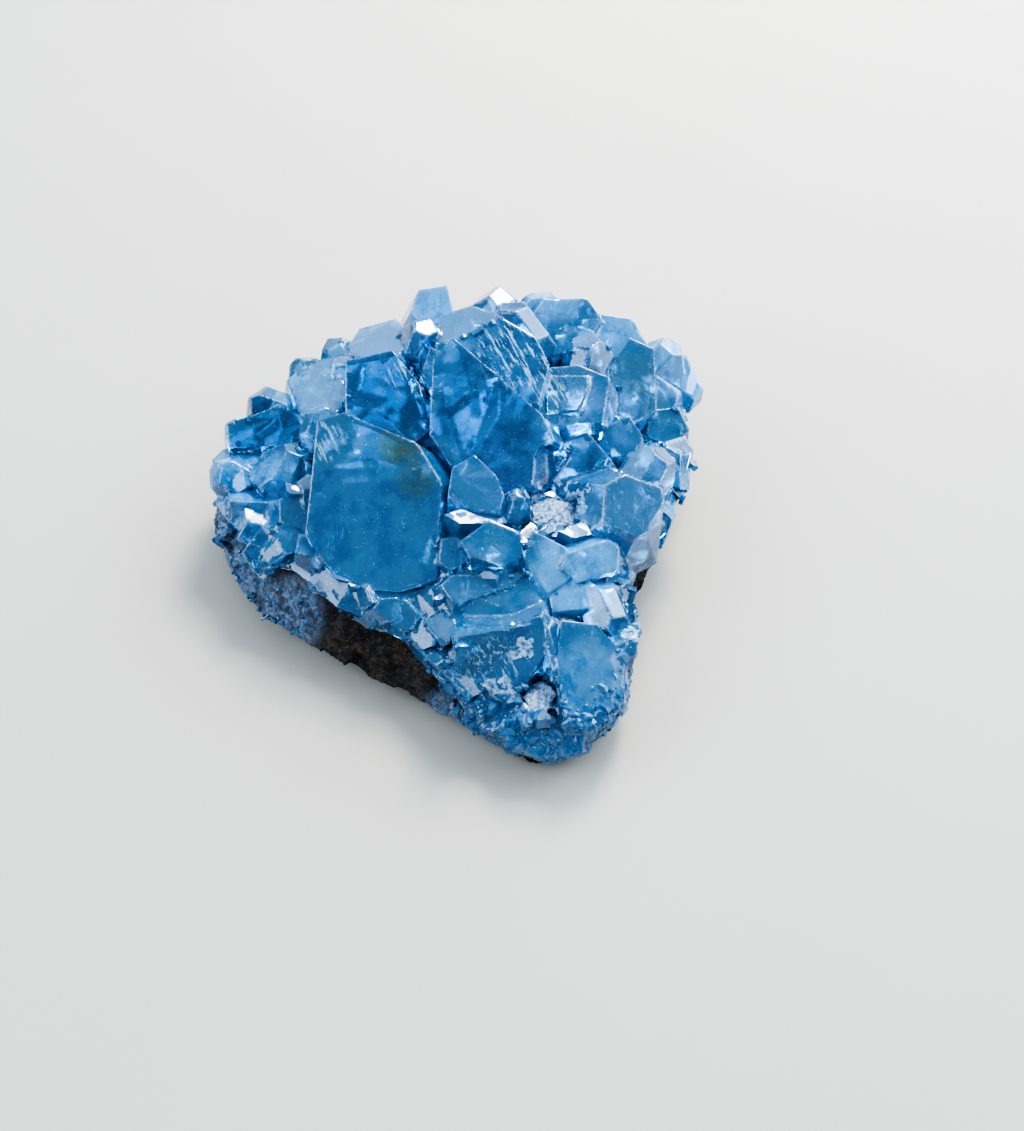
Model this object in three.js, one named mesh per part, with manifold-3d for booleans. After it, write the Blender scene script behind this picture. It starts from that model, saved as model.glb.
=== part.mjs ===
// A celestite (celestine) cluster: a broken slab of host rock carrying a crust of blocky blue crystals.
// Millimetres, +Z up. The origin is under the middle of the specimen, on the plane it rests on.
// +X is the long straight side of the slab, -Y is its pointed lobe.
import * as THREE from "three";
import { ConvexGeometry } from "three/addons/geometries/ConvexGeometry.js";
import { mergeVertices } from "three/addons/utils/BufferGeometryUtils.js";
import Module from "manifold-3d";

const wasm = await Module();
wasm.setup();

const DEG = Math.PI / 180;
const GAP = 0.4; // clearance between neighbouring pieces

// The slab's plan, as radii from the origin every 15 degrees, counter-clockwise from +X.
const SECTION_STEP = 15 * DEG;
const WAIST_RADIUS = [
  38.5, 42.5, 50.5, 49, 48.5, 46, 45.5, 44, 41.5, 42, 42, 47.5,
  45, 41, 38.5, 36.5, 35.5, 36, 40, 50, 49, 40.5, 34, 35,
];
const BED_RADIUS = [
  38.5, 41.5, 49, 47.5, 46.5, 44.5, 44, 43, 40, 40, 40.5, 43,
  42, 36, 31, 30, 28.5, 29, 37, 48, 47.5, 39, 33.5, 34.5,
];
const OUTLINE_RADIUS = [
  40.5, 44.7, 53, 51, 51, 48.2, 48.3, 46.9, 43.9, 44.1, 44, 47.5,
  45, 39, 33, 31, 30, 30.5, 37.5, 49, 49.5, 42, 35.5, 37,
]; // how far the crystals reach
const BED_EDGE_HEIGHT = [
  13, 14, 15, 16.5, 17, 17.5, 17.5, 17, 16, 15, 14, 12.5,
  11.5, 11.5, 11.5, 11, 10, 9, 6.5, 4.5, 5, 7, 8.5, 11,
];
const BED_MIDDLE_HEIGHT = 17;
const WAIST_SHARE = 0.42; // height of the widest line, as a share of the bed's edge height
const FOOT_SHARE = 0.72; // the flat underside's share of the waist radius
const CRUST_THICKNESS = 2.2;
const CRUST_OVERHANG = 0.6;
const ROCK_SEGMENTS = 38;
const CRUST_SEGMENTS = 30;
const ROOT_DEPTH = 0.6; // how far the crystals reach down into the bed

// Angles between the basal face of celestine and its other forms.
const PRISM = 90; // {210}
const PYRAMID = 64.4; // {111}
const DOME_LONG = 52; // {011}
const DOME_SHORT = 39.4; // {102}
const SIDE_ANGLE = { m: PRISM, y: PYRAMID, o: DOME_LONG, b: 180 - PYRAMID };
const PRISM_HALF_ANGLE = 37.9; // of the {210} rhomb, from the long axis

// Crystals that show one broad face: where its middle is, the way it faces (azimuth, elevation), its outline in
// its own plane (right, up), and the form that bounds each side of the outline.
const BROAD_CRYSTALS = [
  { at: [-14.5, -7.5, 22.5], face: [265, 60], sides: "mmyyyoym",
    outline: [[-11, 13], [-6.5, 14.5], [6.5, 10], [11.5, 3], [12, -13.5], [4, -17], [-5.5, -13.5], [-11, -7]] },
  { at: [5.2, 4.6, 27], face: [272, 58], sides: "bmyyoymm",
    outline: [[-9.5, 13], [-6, 16.5], [9, 2.5], [12, -4], [8, -11], [0.5, -10], [-7, -6.5], [-10.5, -1]] },
  { at: [9.8, 17.5, 30.6], face: [285, 70], sides: "bmmyym",
    outline: [[-10.5, 6.5], [-0.5, 10], [5, 4.5], [6, -1.5], [2, -9], [-5, -5]] },
  { at: [-12.9, 14.1, 25.5], face: [265, 62], sides: "mmyyom",
    outline: [[-9, 6.5], [-0.5, 9], [5, 3], [8, -5.5], [4, -9.5], [-8, -3.5]] },
  { at: [-16.4, 30.9, 25], face: [120, 80], sides: "ymymym",
    outline: [[1.5, -6.5], [-6, -5.5], [-6.5, 0.5], [-1, 7.5], [6.5, 5], [6, -1.5]] },
  { at: [-27.5, 18.8, 22], face: [200, 76], sides: "ymyymy",
    outline: [[-7, -4.5], [-9.5, 1], [-7.5, 5], [4, 5.5], [7.5, 2], [6, -4]] },
  { at: [-36, 11.5, 19.5], face: [262, 55], sides: "mmyoy",
    outline: [[-7, 0.5], [1, 5], [6.5, 3.5], [6, -2], [-5, -4]] },
  { at: [3.7, -6.1, 24], face: [275, 66], sides: "mmyoomm",
    outline: [[-0.5, 5.5], [3, 1.5], [4, -2], [3, -5], [-1.5, -4.5], [-5.5, -1], [-4.5, 3.5]] },
  { at: [6.2, -15.9, 20], face: [300, 72], sides: "mmoymm",
    outline: [[1.5, 4.5], [5, 0.5], [3.5, -4], [-0.5, -4], [-5, 0], [-5, 3]] },
  { at: [3.3, -21.7, 16.5], face: [270, 75], sides: "myyoy",
    outline: [[-4, 2], [8, 2], [5.5, -0.5], [-3.5, -3.5], [-6, 0]] },
  { at: [29.6, -9.4, 22.6], face: [290, 66], sides: "oymyoo",
    outline: [[-3.5, 4.5], [0.5, 5.5], [6, 1.5], [5, -4], [-1.5, -5.5], [-6, -1.5]] },
  { at: [20.4, 13.7, 26.4], face: [270, 68], sides: "yyoymm",
    outline: [[-5.5, 5.5], [-7.5, -2], [-4, -6], [5, -5.5], [6.5, 3.5], [1, 6]] },
  { at: [31.5, 19, 24.4], face: [268, 62], sides: "mmmyoy",
    outline: [[-4.5, 3], [-0.5, 9], [4, 7], [4.5, -5], [-1, -8.5], [-4.5, -4.5]] },
  { at: [19.6, 13.4, 27], face: [270, 68], sides: "myoymm",
    outline: [[-4.2, 3.6], [-4.2, -3.4], [3, -3.2], [3.2, 1], [4.4, 3.6]] },
  { at: [20.5, -0.4, 21.5], face: [255, 52], sides: "mmyoyy",
    outline: [[-4, 4.5], [0.5, 7], [5.5, 3], [3, -6], [-2, -6], [-5.5, 0]] },
  { at: [38.2, 19, 21], face: [300, 66], sides: "myom",
    outline: [[0.5, 5], [3.5, 0], [0, -3.5], [-4.5, -1]] },
  { at: [37.6, 13, 19.4], face: [285, 60], sides: "mmyoy",
    outline: [[-2, 3.5], [3.5, 3], [4.5, -1.5], [0.5, -4], [-4, -1.5]] },
  { at: [40.2, 6.4, 17], face: [318, 58], sides: "mmyoy",
    outline: [[0, 4.5], [4.5, 3], [3, -3.5], [-2, -4], [-4.5, 0]] },
  { at: [6.4, -28.2, 15.6], face: [98, 58], sides: "mmbmm",
    outline: [[7, 5], [7.5, 0], [2, -5.5], [-6.5, -4.5], [-5.5, 3.5]] },
  { at: [8.6, -33.6, 14.2], face: [255, 56], sides: "ymyym",
    outline: [[-6.5, 1.5], [4, 7], [6, 2], [2.5, -8], [-3.5, -6]] },
  { at: [21.5, -37.5, 13.4], face: [300, 62], sides: "mmmyyym",
    outline: [[-4, 4], [0, 10], [5, 7], [7, 0], [3, -6.5], [-3, -8], [-7, -5]] },
  { at: [14.4, -45.2, 7.6], face: [268, 52], sides: "mmyyyy",
    outline: [[-7, 2], [-2, 4], [6, 2], [6, -2], [1, -4], [-5.5, -1.5]] },
  { at: [15.2, -18.9, 18.4], face: [280, 62], sides: "myoym",
    outline: [[-1.5, 6], [3.5, 2.5], [4, -2.5], [-1, -5], [-4, 1.5]] },
  { at: [29.4, 7.2, 21.8], face: [280, 54], sides: "mmyoy",
    outline: [[-4, 2.5], [1.5, 4], [3.5, 0], [1, -3.5], [-3, -3]] },
  { at: [20.1, 34.6, 26.6], face: [268, 66], sides: "bmyyoy",
    outline: [[-5, 4.5], [3.5, 5], [6.5, 0.5], [3.5, -5], [-3.5, -8], [-8, -1]] },
  { at: [30.4, 32.4, 24], face: [288, 62], sides: "mmyoy",
    outline: [[-2.5, 6], [3.5, 3.5], [5, -3], [-2, -4.5], [-6, 0.5]] },
  { at: [-6.8, 40.8, 25.6], face: [262, 62], sides: "mmyoy",
    outline: [[-3, 3], [2.5, 4.5], [4.5, -1], [0.5, -6], [-4, -2]] },
  { at: [1.6, 30.9, 28], face: [250, 78], sides: "ymmmyo",
    outline: [[-6.5, -5.5], [-7, 1], [-2, 5], [4, 4.5], [7, -1], [1, -5.5]] },
  { at: [-4.8, 19.6, 27.4], face: [255, 70], sides: "mmym",
    outline: [[-2.5, 4.5], [2, 3], [2.5, -5.5], [-2.5, -2.5]] },
  { at: [43, 26.5, 19.6], face: [300, 62], sides: "mmyoy",
    outline: [[-2, 6], [4, 3], [4, -3], [-1, -5], [-4, 1]] },
];

const BROAD_DEPTH = 18;
const FACE_CLEARANCE = 1.16; // no small crystal starts inside a broad face's outline grown by this share

// Crystals that show their chisel edge or a corner: place of the middle, half lengths along their own three
// axes, and the turn of those axes (azimuth and elevation of the long axis, then the roll about it).
const CHISEL_CRYSTALS = [
  { at: [-0.6, -15.4, 15.6], half: [4.5, 3.6, 4.5], turn: [150, 12, 30] },
  { at: [22, -16.5, 15.5], half: [7.5, 4, 4.5], turn: [20, 4, -22] },
  { at: [-31.5, 3.5, 16.4], half: [6.5, 4, 4.5], turn: [70, 20, 20] },
  { at: [-27, -2.5, 15.5], half: [5, 3.6, 4.5], turn: [95, 35, 10] },
  { at: [-39.5, 3.5, 14.5], half: [5, 4, 4], turn: [160, 25, 35] },
  { at: [-25.5, 11, 18.5], half: [6, 4, 5.5], turn: [80, 15, -30] },
  { at: [-8.5, 30, 23.5], half: [6, 4.5, 5.5], turn: [60, 40, 15] },
  { at: [11, 30.5, 25.5], half: [8, 5, 5.5], turn: [130, 25, 10] },
  { at: [6, 42.5, 21.5], half: [5.5, 5, 5.5], turn: [85, 50, 20] },
  { at: [14, 42, 21], half: [6, 4.5, 5], turn: [40, 35, -25] },
  { at: [37.5, 28.5, 20.5], half: [6, 4.5, 4.5], turn: [35, 25, 15] },
  { at: [33, 0.5, 18.5], half: [6.5, 4.5, 5], turn: [60, 15, 25] },
  { at: [24.5, -24.5, 12.5], half: [6, 4, 4], turn: [110, 15, 15] },
  { at: [27.5, -31, 11], half: [5, 3.6, 3.8], turn: [20, 10, 30] },
  { at: [15.8, -32.5, 11.8], half: [7.5, 2.8, 4.4], turn: [-74, -16, 12] },
  { at: [1.5, -36, 9], half: [5.5, 3.5, 3.8], turn: [215, 8, 20] },
  { at: [-21, 24, 20.5], half: [6, 4.5, 4.5], turn: [140, 20, 10] },
  { at: [-24, 31, 19], half: [5.5, 4, 4.5], turn: [130, 30, -20] },
  { at: [-36.5, 19.5, 17], half: [6, 4.5, 4], turn: [165, 15, 15] },
  { at: [-30, 27, 18.5], half: [4.5, 4, 4], turn: [150, 35, 40] },
  { at: [23.5, 24.5, 23.5], half: [6.5, 5, 5.5], turn: [75, 35, -15] },
  { at: [10, -8, 20], half: [4, 2.6, 3], turn: [70, 30, 10] },
];

// Smaller intergrown crystals pave the bed between the ones above, and a fringe of them hangs over its edge.
const FILLER = { count: 92, size: [2.8, 5.4], height: [0.4, 2.6], elevation: [42, 84], lean: 100, seed: 7 };
const FRINGE = { count: 62, size: [1.8, 3.6], height: [-1, 2], elevation: [12, 64], lean: 40, seed: 23 };
const SMALL_SIDES = "myomym";

// Pale chalky crumbs of the host rock that are caught between the crystals.
const CRUMBS = [
  { name: "pale_crumb_by_the_cleft", at: [16.2, -7.4, 19.2], radii: [4.6, 3.6, 2] },
  { name: "pale_crumb_on_the_lobe", at: [14, -39.2, 10.9], radii: [2.6, 3.8, 2] },
  { name: "pale_knob_on_the_shelf", at: [0.6, -31, 12], radii: [2.3, 2.3, 2] },
];
const CLEFT = { at: [15.2, -3.4, 23.6], half: [8, 1.1, 5], turn: [66, 12, 0] };

// Angular knobs and pits of the broken rock wall; depth is how far inside the wall their middles are, in sizes.
const KNOB = { count: 10, size: [6, 10], depth: 0.72, seed: 41 };
const PIT = { count: 8, size: [2.4, 4.5], depth: -0.5, seed: 59 };

// A repeatable stream of numbers from 0 to 1.
function stream(seed) {
  let state = seed >>> 0;
  return () => {
    state = (state + 0x6d2b79f5) >>> 0;
    let t = Math.imul(state ^ (state >>> 15), 1 | state);
    t = (t + Math.imul(t ^ (t >>> 7), 61 | t)) ^ t;
    return ((t ^ (t >>> 14)) >>> 0) / 4294967296;
  };
}

function between([low, high], share) {
  return low + (high - low) * share;
}

// Smooth repeatable noise from -1 to 1, one lump per unit of length.
function corner(i, j, k) {
  const h = Math.sin(i * 127.1 + j * 311.7 + k * 74.7) * 43758.5453;
  return 2 * (h - Math.floor(h)) - 1;
}

function lumps(x, y, z) {
  const [i, j, k] = [x, y, z].map(Math.floor);
  const [u, v, w] = [x - i, y - j, z - k].map((t) => t * t * (3 - 2 * t));
  let sum = 0;
  for (const [a, wa] of [[0, 1 - u], [1, u]])
    for (const [b, wb] of [[0, 1 - v], [1, v]])
      for (const [c, wc] of [[0, 1 - w], [1, w]])
        sum += wa * wb * wc * corner(i + a, j + b, k + c);
  return sum;
}

// A section table read at any angle, with smooth blending between its stations.
function section(table, angle) {
  const place = (((angle / SECTION_STEP) % table.length) + table.length) % table.length;
  const i = Math.floor(place);
  const t = place - i;
  const [p, q, r, s] = [-1, 0, 1, 2].map((o) => table[(i + o + table.length) % table.length]);
  return q + 0.5 * t * (r - p + t * (2 * p - 5 * q + 4 * r - s + t * (3 * (q - r) + s - p)));
}

function bedHeight(x, y) {
  const angle = Math.atan2(y, x);
  const out = Math.min(1, Math.hypot(x, y) / section(BED_RADIUS, angle));
  const edge = section(BED_EDGE_HEIGHT, angle);
  return edge + (BED_MIDDLE_HEIGHT - edge) * (1 - out * out);
}

// The flat faces that end every crystal below and, at the edge of the slab, outwards.
function rootFaces([x, y]) {
  const angle = Math.atan2(y, x);
  const step = 0.05;
  const [before, after] = [angle - step, angle + step].map((a) => {
    const radius = section(OUTLINE_RADIUS, a);
    return new THREE.Vector3(radius * Math.cos(a), radius * Math.sin(a), 0);
  });
  const along = after.clone().sub(before).normalize();
  const tilt = 14 * DEG * corner(Math.round(x), Math.round(y), 3);
  const outwards = new THREE.Vector3(along.y * Math.cos(tilt), -along.x * Math.cos(tilt), Math.sin(tilt));
  const rim = new THREE.Vector3(before.x, before.y, bedHeight(x, y) + CRUST_THICKNESS);
  const floor = Math.min(bedHeight(x, y), bedHeight(1.15 * x, 1.15 * y)) - ROOT_DEPTH;
  return [
    { normal: outwards, distance: outwards.dot(rim) },
    { normal: new THREE.Vector3(0, 0, -1), distance: -floor },
  ];
}

function toSolid(geometry) {
  const bare = geometry.clone();
  for (const name of Object.keys(bare.attributes)) if (name !== "position") bare.deleteAttribute(name);
  const merged = mergeVertices(bare, 1e-4);
  return new wasm.Manifold(
    new wasm.Mesh({
      numProp: 3,
      vertProperties: merged.attributes.position.array,
      triVerts: new Uint32Array(merged.index.array),
    }),
  );
}

function toGeometry(solid) {
  const { vertProperties, triVerts } = solid.getMesh();
  return new THREE.BufferGeometry()
    .setAttribute("position", new THREE.BufferAttribute(new Float32Array(vertProperties), 3))
    .setIndex(new THREE.BufferAttribute(new Uint32Array(triVerts), 1));
}

// The convex solid inside a set of flat faces, each an outward normal and its distance from the local origin.
function crystalInside(faces) {
  const corners = [];
  const isInside = (p) => faces.every(({ normal, distance }) => normal.dot(p) < distance + 1e-6);
  const isNew = (p) => corners.every((q) => q.distanceTo(p) > 1e-3);
  for (let i = 0; i < faces.length; i++)
    for (let j = i + 1; j < faces.length; j++)
      for (let k = j + 1; k < faces.length; k++) {
        const [a, b, c] = [faces[i], faces[j], faces[k]];
        const bc = b.normal.clone().cross(c.normal);
        const det = a.normal.dot(bc);
        if (Math.abs(det) < 1e-4) continue;
        const point = bc
          .multiplyScalar(a.distance)
          .add(c.normal.clone().cross(a.normal).multiplyScalar(b.distance))
          .add(a.normal.clone().cross(b.normal).multiplyScalar(c.distance))
          .divideScalar(det);
        if (isInside(point) && isNew(point)) corners.push(point);
      }
  return new ConvexGeometry(corners);
}

// Axes whose third one faces an azimuth and elevation, with the first one level and to the right of it.
function facing([azimuth, elevation]) {
  const [a, e] = [azimuth * DEG, elevation * DEG];
  const out = new THREE.Vector3(Math.cos(a) * Math.cos(e), Math.sin(a) * Math.cos(e), Math.sin(e));
  const right = new THREE.Vector3(-Math.sin(a), Math.cos(a), 0);
  return new THREE.Matrix4().makeBasis(right, out.clone().cross(right), out);
}

// A crystal put in its place and cut to the bed and the edge of the slab.
function rooted(faces, placing, at) {
  const origin = new THREE.Vector3().setFromMatrixPosition(placing);
  const placed = faces.map(({ normal, distance }) => {
    const turned = normal.clone().transformDirection(placing);
    return { normal: turned, distance: distance + turned.dot(origin) };
  });
  return crystalInside([...placed, ...rootFaces(at)]);
}

// A crystal with one broad face of a given outline, whose sides slope away at celestine's own angles.
function broadCrystal({ at, face, sides, outline, depth = BROAD_DEPTH }) {
  const points = outline.map(([x, y]) => new THREE.Vector2(x, y));
  const turns = Math.sign(THREE.ShapeUtils.area(points));
  const faces = [
    { normal: new THREE.Vector3(0, 0, 1), distance: 0 },
    { normal: new THREE.Vector3(0, 0, -1), distance: depth },
  ];
  points.forEach((point, i) => {
    const edge = points[(i + 1) % points.length].clone().sub(point).normalize();
    const slope = SIDE_ANGLE[sides[i % sides.length]] * DEG;
    const normal = new THREE.Vector3(
      turns * edge.y * Math.sin(slope),
      -turns * edge.x * Math.sin(slope),
      Math.cos(slope),
    );
    faces.push({ normal, distance: normal.x * point.x + normal.y * point.y });
  });
  return rooted(faces, facing(face).setPosition(...at), at);
}

// A chisel-ended celestine crystal: two long domes meet in an edge, closed by prism and short dome faces.
function chiselCrystal({ at, half, turn }, uneven = () => 1) {
  const [long, wide, high] = half;
  const faces = [];
  for (const across of [-1, 1])
    for (const up of [-1, 1]) {
      const dome = new THREE.Vector3(
        0,
        across * Math.sin(DOME_LONG * DEG),
        up * Math.cos(DOME_LONG * DEG),
      );
      faces.push({ normal: dome, distance: uneven() * Math.hypot(wide * dome.y, high * dome.z) * 0.86 });
      const cap = new THREE.Vector3(
        across * Math.sin(DOME_SHORT * DEG),
        0,
        up * Math.cos(DOME_SHORT * DEG),
      );
      faces.push({ normal: cap, distance: uneven() * Math.hypot(long * cap.x, high * cap.z) * 0.92 });
      const prism = new THREE.Vector3(
        up * Math.cos(PRISM_HALF_ANGLE * DEG),
        across * Math.sin(PRISM_HALF_ANGLE * DEG),
        0,
      );
      faces.push({ normal: prism, distance: uneven() * Math.hypot(long * prism.x, wide * prism.y) * 0.88 });
    }
  faces.push({ normal: new THREE.Vector3(0, 0, 1), distance: uneven() * high * 0.92 });
  faces.push({ normal: new THREE.Vector3(0, 0, -1), distance: high });
  const [azimuth, elevation, roll] = turn.map((t) => t * DEG);
  const turned = new THREE.Matrix4()
    .makeRotationFromEuler(new THREE.Euler(roll, -elevation, azimuth, "ZYX"))
    .setPosition(...at);
  return rooted(faces, turned, at);
}

// A closed surface around the Z axis: place(angle, station) moves each vertex of a lathe with those stations,
// which run from the pole underneath to the pole on top.
function ringed(stations, segments, place) {
  const profile = stations.map((_, i) => {
    const isPole = i === 0 || i === stations.length - 1;
    return new THREE.Vector2(isPole ? 0 : 1, i);
  });
  const geometry = new THREE.LatheGeometry(profile, segments);
  for (const name of ["normal", "uv"]) geometry.deleteAttribute(name);
  const position = geometry.attributes.position;
  for (let ring = 0; ring <= segments; ring++)
    for (let i = 0; i < stations.length; i++) {
      const angle = ((ring % segments) / segments) * 2 * Math.PI;
      position.setXYZ(ring * stations.length + i, ...place(angle, stations[i]));
    }
  return mergeVertices(geometry, 1e-4);
}

// The host rock, grown outwards by a margin when it serves as a cutter.
function hostRock(margin = 0) {
  const segments = ROCK_SEGMENTS;
  const stations = [
    { foot: 0, inner: 0 }, { foot: 0 }, { foot: 0.1 }, { foot: 0.33 }, { foot: 0.66 },
    { wall: 0 }, { wall: 0.2 }, { wall: 0.4 }, { wall: 0.6 }, { wall: 0.8 },
    { bed: 1 }, { bed: 0.84 }, { bed: 0.62 }, { bed: 0.35 }, { bed: 0 },
  ];
  const place = (angle, { bed, wall, foot, inner = 1 }) => {
    const waist = section(WAIST_RADIUS, angle);
    const edge = section(BED_RADIUS, angle);
    const waistHeight = WAIST_SHARE * section(BED_EDGE_HEIGHT, angle);
    const isBed = bed !== undefined && bed < 1;
    let [radius, height, lift] = [0, 0, 0];
    if (bed !== undefined) {
      radius = edge * bed;
      height = bedHeight(radius * Math.cos(angle), radius * Math.sin(angle));
      lift = margin;
    } else if (wall !== undefined) {
      radius = waist + (edge - waist) * wall;
      height = waistHeight * (1 + (1 / WAIST_SHARE - 1) * wall);
    } else {
      radius = inner * waist * (FOOT_SHARE + (1 - FOOT_SHARE) * Math.sqrt(foot));
      height = waistHeight * foot;
    }
    const [x, y] = [radius * Math.cos(angle), radius * Math.sin(angle)];
    const ledge = 1.1 * lumps(x / 9, y / 9, height / 2.6) + 0.7 * lumps(x / 3.7, y / 3.7, height / 1.9);
    if (foot === 0) return [x, y, -margin];
    if (isBed) return [x, y, height + lift + 0.5 * ledge];
    const scale = (radius + ledge + margin) / radius;
    return [x * scale, y * scale, height + lift];
  };
  return ringed(stations, segments, place);
}

// The thin massive crust that the crystals stand on.
function crust() {
  const stations = [
    { out: 0, up: -0.8 }, { out: 0.8, up: -0.8 }, { out: 0.96, up: -0.6 }, { out: 1, up: -0.15 },
    { out: 1, up: 0.55 }, { out: 0.94, up: 0.9 }, { out: 0.78, up: 1 }, { out: 0.55, up: 1 },
    { out: 0.3, up: 1 }, { out: 0, up: 1 },
  ];
  const place = (angle, { out, up }) => {
    const radius = out * (section(BED_RADIUS, angle) + CRUST_OVERHANG);
    const [x, y] = [radius * Math.cos(angle), radius * Math.sin(angle)];
    const rough = out < 0.9 ? 0 : lumps(x / 3.1, y / 3.1, up * 3);
    const scale = radius > 0 ? (radius + 0.8 * rough) / radius : 1;
    const lift = up > 0 ? 0.7 * lumps(x / 4, y / 4, 5) : 0;
    return [x * scale, y * scale, bedHeight(x, y) + CRUST_THICKNESS * up + lift];
  };
  return ringed(stations, CRUST_SEGMENTS, place);
}

// True where a broad face would be hidden by whatever stands at a place.
function isOverBroadFace(place) {
  return BROAD_CRYSTALS.some(({ at, face, outline }) => {
    const local = new THREE.Vector3(...place).applyMatrix4(facing(face).setPosition(...at).invert());
    const isInside = outline.map(([x, y], i) => {
      const [nextX, nextY] = outline[(i + 1) % outline.length];
      return (nextX - x) * (local.y / FACE_CLEARANCE - y) - (nextY - y) * (local.x / FACE_CLEARANCE - x) > 0;
    });
    return isInside.every((side) => side === isInside[0]);
  });
}

// One small crystal with an irregular six-sided face that looks in a chosen direction.
function smallCrystal(at, size, face, next) {
  const start = next() * 60 * DEG;
  const outline = Array.from(SMALL_SIDES, (_, i) => {
    const angle = start + (i * 60 + between([-14, 14], next())) * DEG;
    const radius = size * between([0.75, 1.1], next());
    return [1.15 * radius * Math.cos(angle), 0.85 * radius * Math.sin(angle)];
  });
  return broadCrystal({ at, face, sides: SMALL_SIDES, outline, depth: 1.8 * size });
}

function fillerCrystals() {
  const next = stream(FILLER.seed);
  const goldenAngle = 137.508 * DEG;
  const found = [];
  for (let i = 0; i < FILLER.count; i++) {
    const angle = i * goldenAngle;
    const radius = (section(BED_RADIUS, angle) - 2) * Math.sqrt((i + 0.5) / FILLER.count);
    const [x, y] = [radius * Math.cos(angle), radius * Math.sin(angle)];
    const size = between(FILLER.size, next());
    const face = [angle / DEG + between([-FILLER.lean, FILLER.lean], next()), between(FILLER.elevation, next())];
    const height = bedHeight(x, y) + CRUST_THICKNESS + between(FILLER.height, next());
    if (!isOverBroadFace([x, y, height])) found.push(smallCrystal([x, y, height], size, face, next));
  }
  return found;
}

function fringeCrystals() {
  const next = stream(FRINGE.seed);
  const found = [];
  for (let i = 0; i < FRINGE.count; i++) {
    const angle = ((i + 0.6 * next()) / FRINGE.count) * 2 * Math.PI;
    const radius = section(BED_RADIUS, angle) + between([-1.6, 0.2], next());
    const [x, y] = [radius * Math.cos(angle), radius * Math.sin(angle)];
    const height = section(BED_EDGE_HEIGHT, angle) + CRUST_THICKNESS + between(FRINGE.height, next());
    const face = [angle / DEG + between([-FRINGE.lean, FRINGE.lean], next()), between(FRINGE.elevation, next())];
    found.push(smallCrystal([x, y, height], between(FRINGE.size, next()), face, next));
  }
  return found;
}

// A broken angular block of rock; a margin grows it outwards.
function brokenBlock(at, size, next, margin) {
  const faces = [];
  const middle = new THREE.Vector3(...at);
  for (let i = 0; i < 11; i++) {
    const height = 1 - (2 * (i + 0.5)) / 11;
    const turn = i * 137.508 * DEG + between([-0.5, 0.5], next());
    const level = Math.sqrt(1 - height * height);
    const normal = new THREE.Vector3(level * Math.cos(turn), level * Math.sin(turn), height);
    const reach = size * between([0.6, 1], next()) * (1 - 0.35 * Math.abs(height));
    faces.push({ normal, distance: normal.dot(middle) + reach + margin });
  }
  faces.push({ normal: new THREE.Vector3(0, 0, -1), distance: 0 });
  return crystalInside(faces);
}

// Blocks spread round the rock wall.
function wallBlocks({ count, size, depth, seed }, margin) {
  const next = stream(seed);
  const found = [];
  for (let i = 0; i < count; i++) {
    const angle = ((i + 0.7 * next()) / count) * 2 * Math.PI;
    const reach = between(size, next());
    const bed = section(BED_EDGE_HEIGHT, angle);
    const height = bed * between([0.2, 0.75], next());
    const waist = section(WAIST_RADIUS, angle);
    const up = Math.max(0, (height / bed - WAIST_SHARE) / (1 - WAIST_SHARE));
    const radius = waist + (section(BED_RADIUS, angle) - waist) * up - depth * reach;
    const flat = Math.min(reach, (bed - height) * 1.2 + 0.5);
    found.push(brokenBlock([radius * Math.cos(angle), radius * Math.sin(angle), height], flat, next, margin));
  }
  return found;
}

// A rough lump for a crumb of rock, grown outwards by a margin when it cuts its own seat.
function crumb({ at, radii }, margin = 0) {
  const geometry = mergeVertices(new THREE.IcosahedronGeometry(1, 1).deleteAttribute("normal").deleteAttribute("uv"));
  const position = geometry.attributes.position;
  for (let i = 0; i < position.count; i++) {
    const [x, y, z] = [position.getX(i), position.getY(i), position.getZ(i)];
    const rough = 1 + 0.4 * lumps(2.1 * x + at[0], 2.1 * y + at[1], 2.1 * z);
    const [u, v, w] = [x, y, z].map((t, axis) => t * (radii[axis] * rough + margin) + at[axis]);
    position.setXYZ(i, u, v, w);
  }
  return geometry;
}

function joined(solids) {
  return solids.reduce((all, solid) => all.add(solid));
}

function largest(solid) {
  return solid.decompose().reduce((a, b) => (a.volume() > b.volume() ? a : b));
}

// The whole rock: the slab with its knobs and pits, grown by a margin when it cuts the seat of the crystals.
function rockSolid(margin = 0) {
  const knobs = wallBlocks(KNOB, margin).map(toSolid);
  const pits = wallBlocks(PIT, -margin).map(toSolid);
  return largest(joined([toSolid(hostRock(margin)), ...knobs]).subtract(joined(pits)));
}

const grownRock = rockSolid(GAP);
const crystalSolids = [
  crust(),
  ...BROAD_CRYSTALS.map(broadCrystal),
  ...CHISEL_CRYSTALS.map((crystal) => chiselCrystal(crystal)),
  ...fillerCrystals(),
  ...fringeCrystals(),
].map(toSolid);
const seats = joined([toSolid(chiselCrystal(CLEFT)), ...CRUMBS.map((c) => toSolid(crumb(c, GAP)))]);
const crystals = largest(joined(crystalSolids).subtract(grownRock).subtract(seats));

const finish = {
  rock: new THREE.MeshStandardMaterial({ color: 0x4a3f38, roughness: 0.95, metalness: 0, flatShading: true }),
  celestine: new THREE.MeshStandardMaterial({ color: 0x4f94c9, roughness: 0.12, metalness: 0, flatShading: true }),
  chalk: new THREE.MeshStandardMaterial({ color: 0xb9c2cc, roughness: 0.9, metalness: 0, flatShading: true }),
};

function piece(name, geometry, material) {
  const mesh = new THREE.Mesh(geometry, material);
  mesh.name = name;
  return mesh;
}

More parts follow.
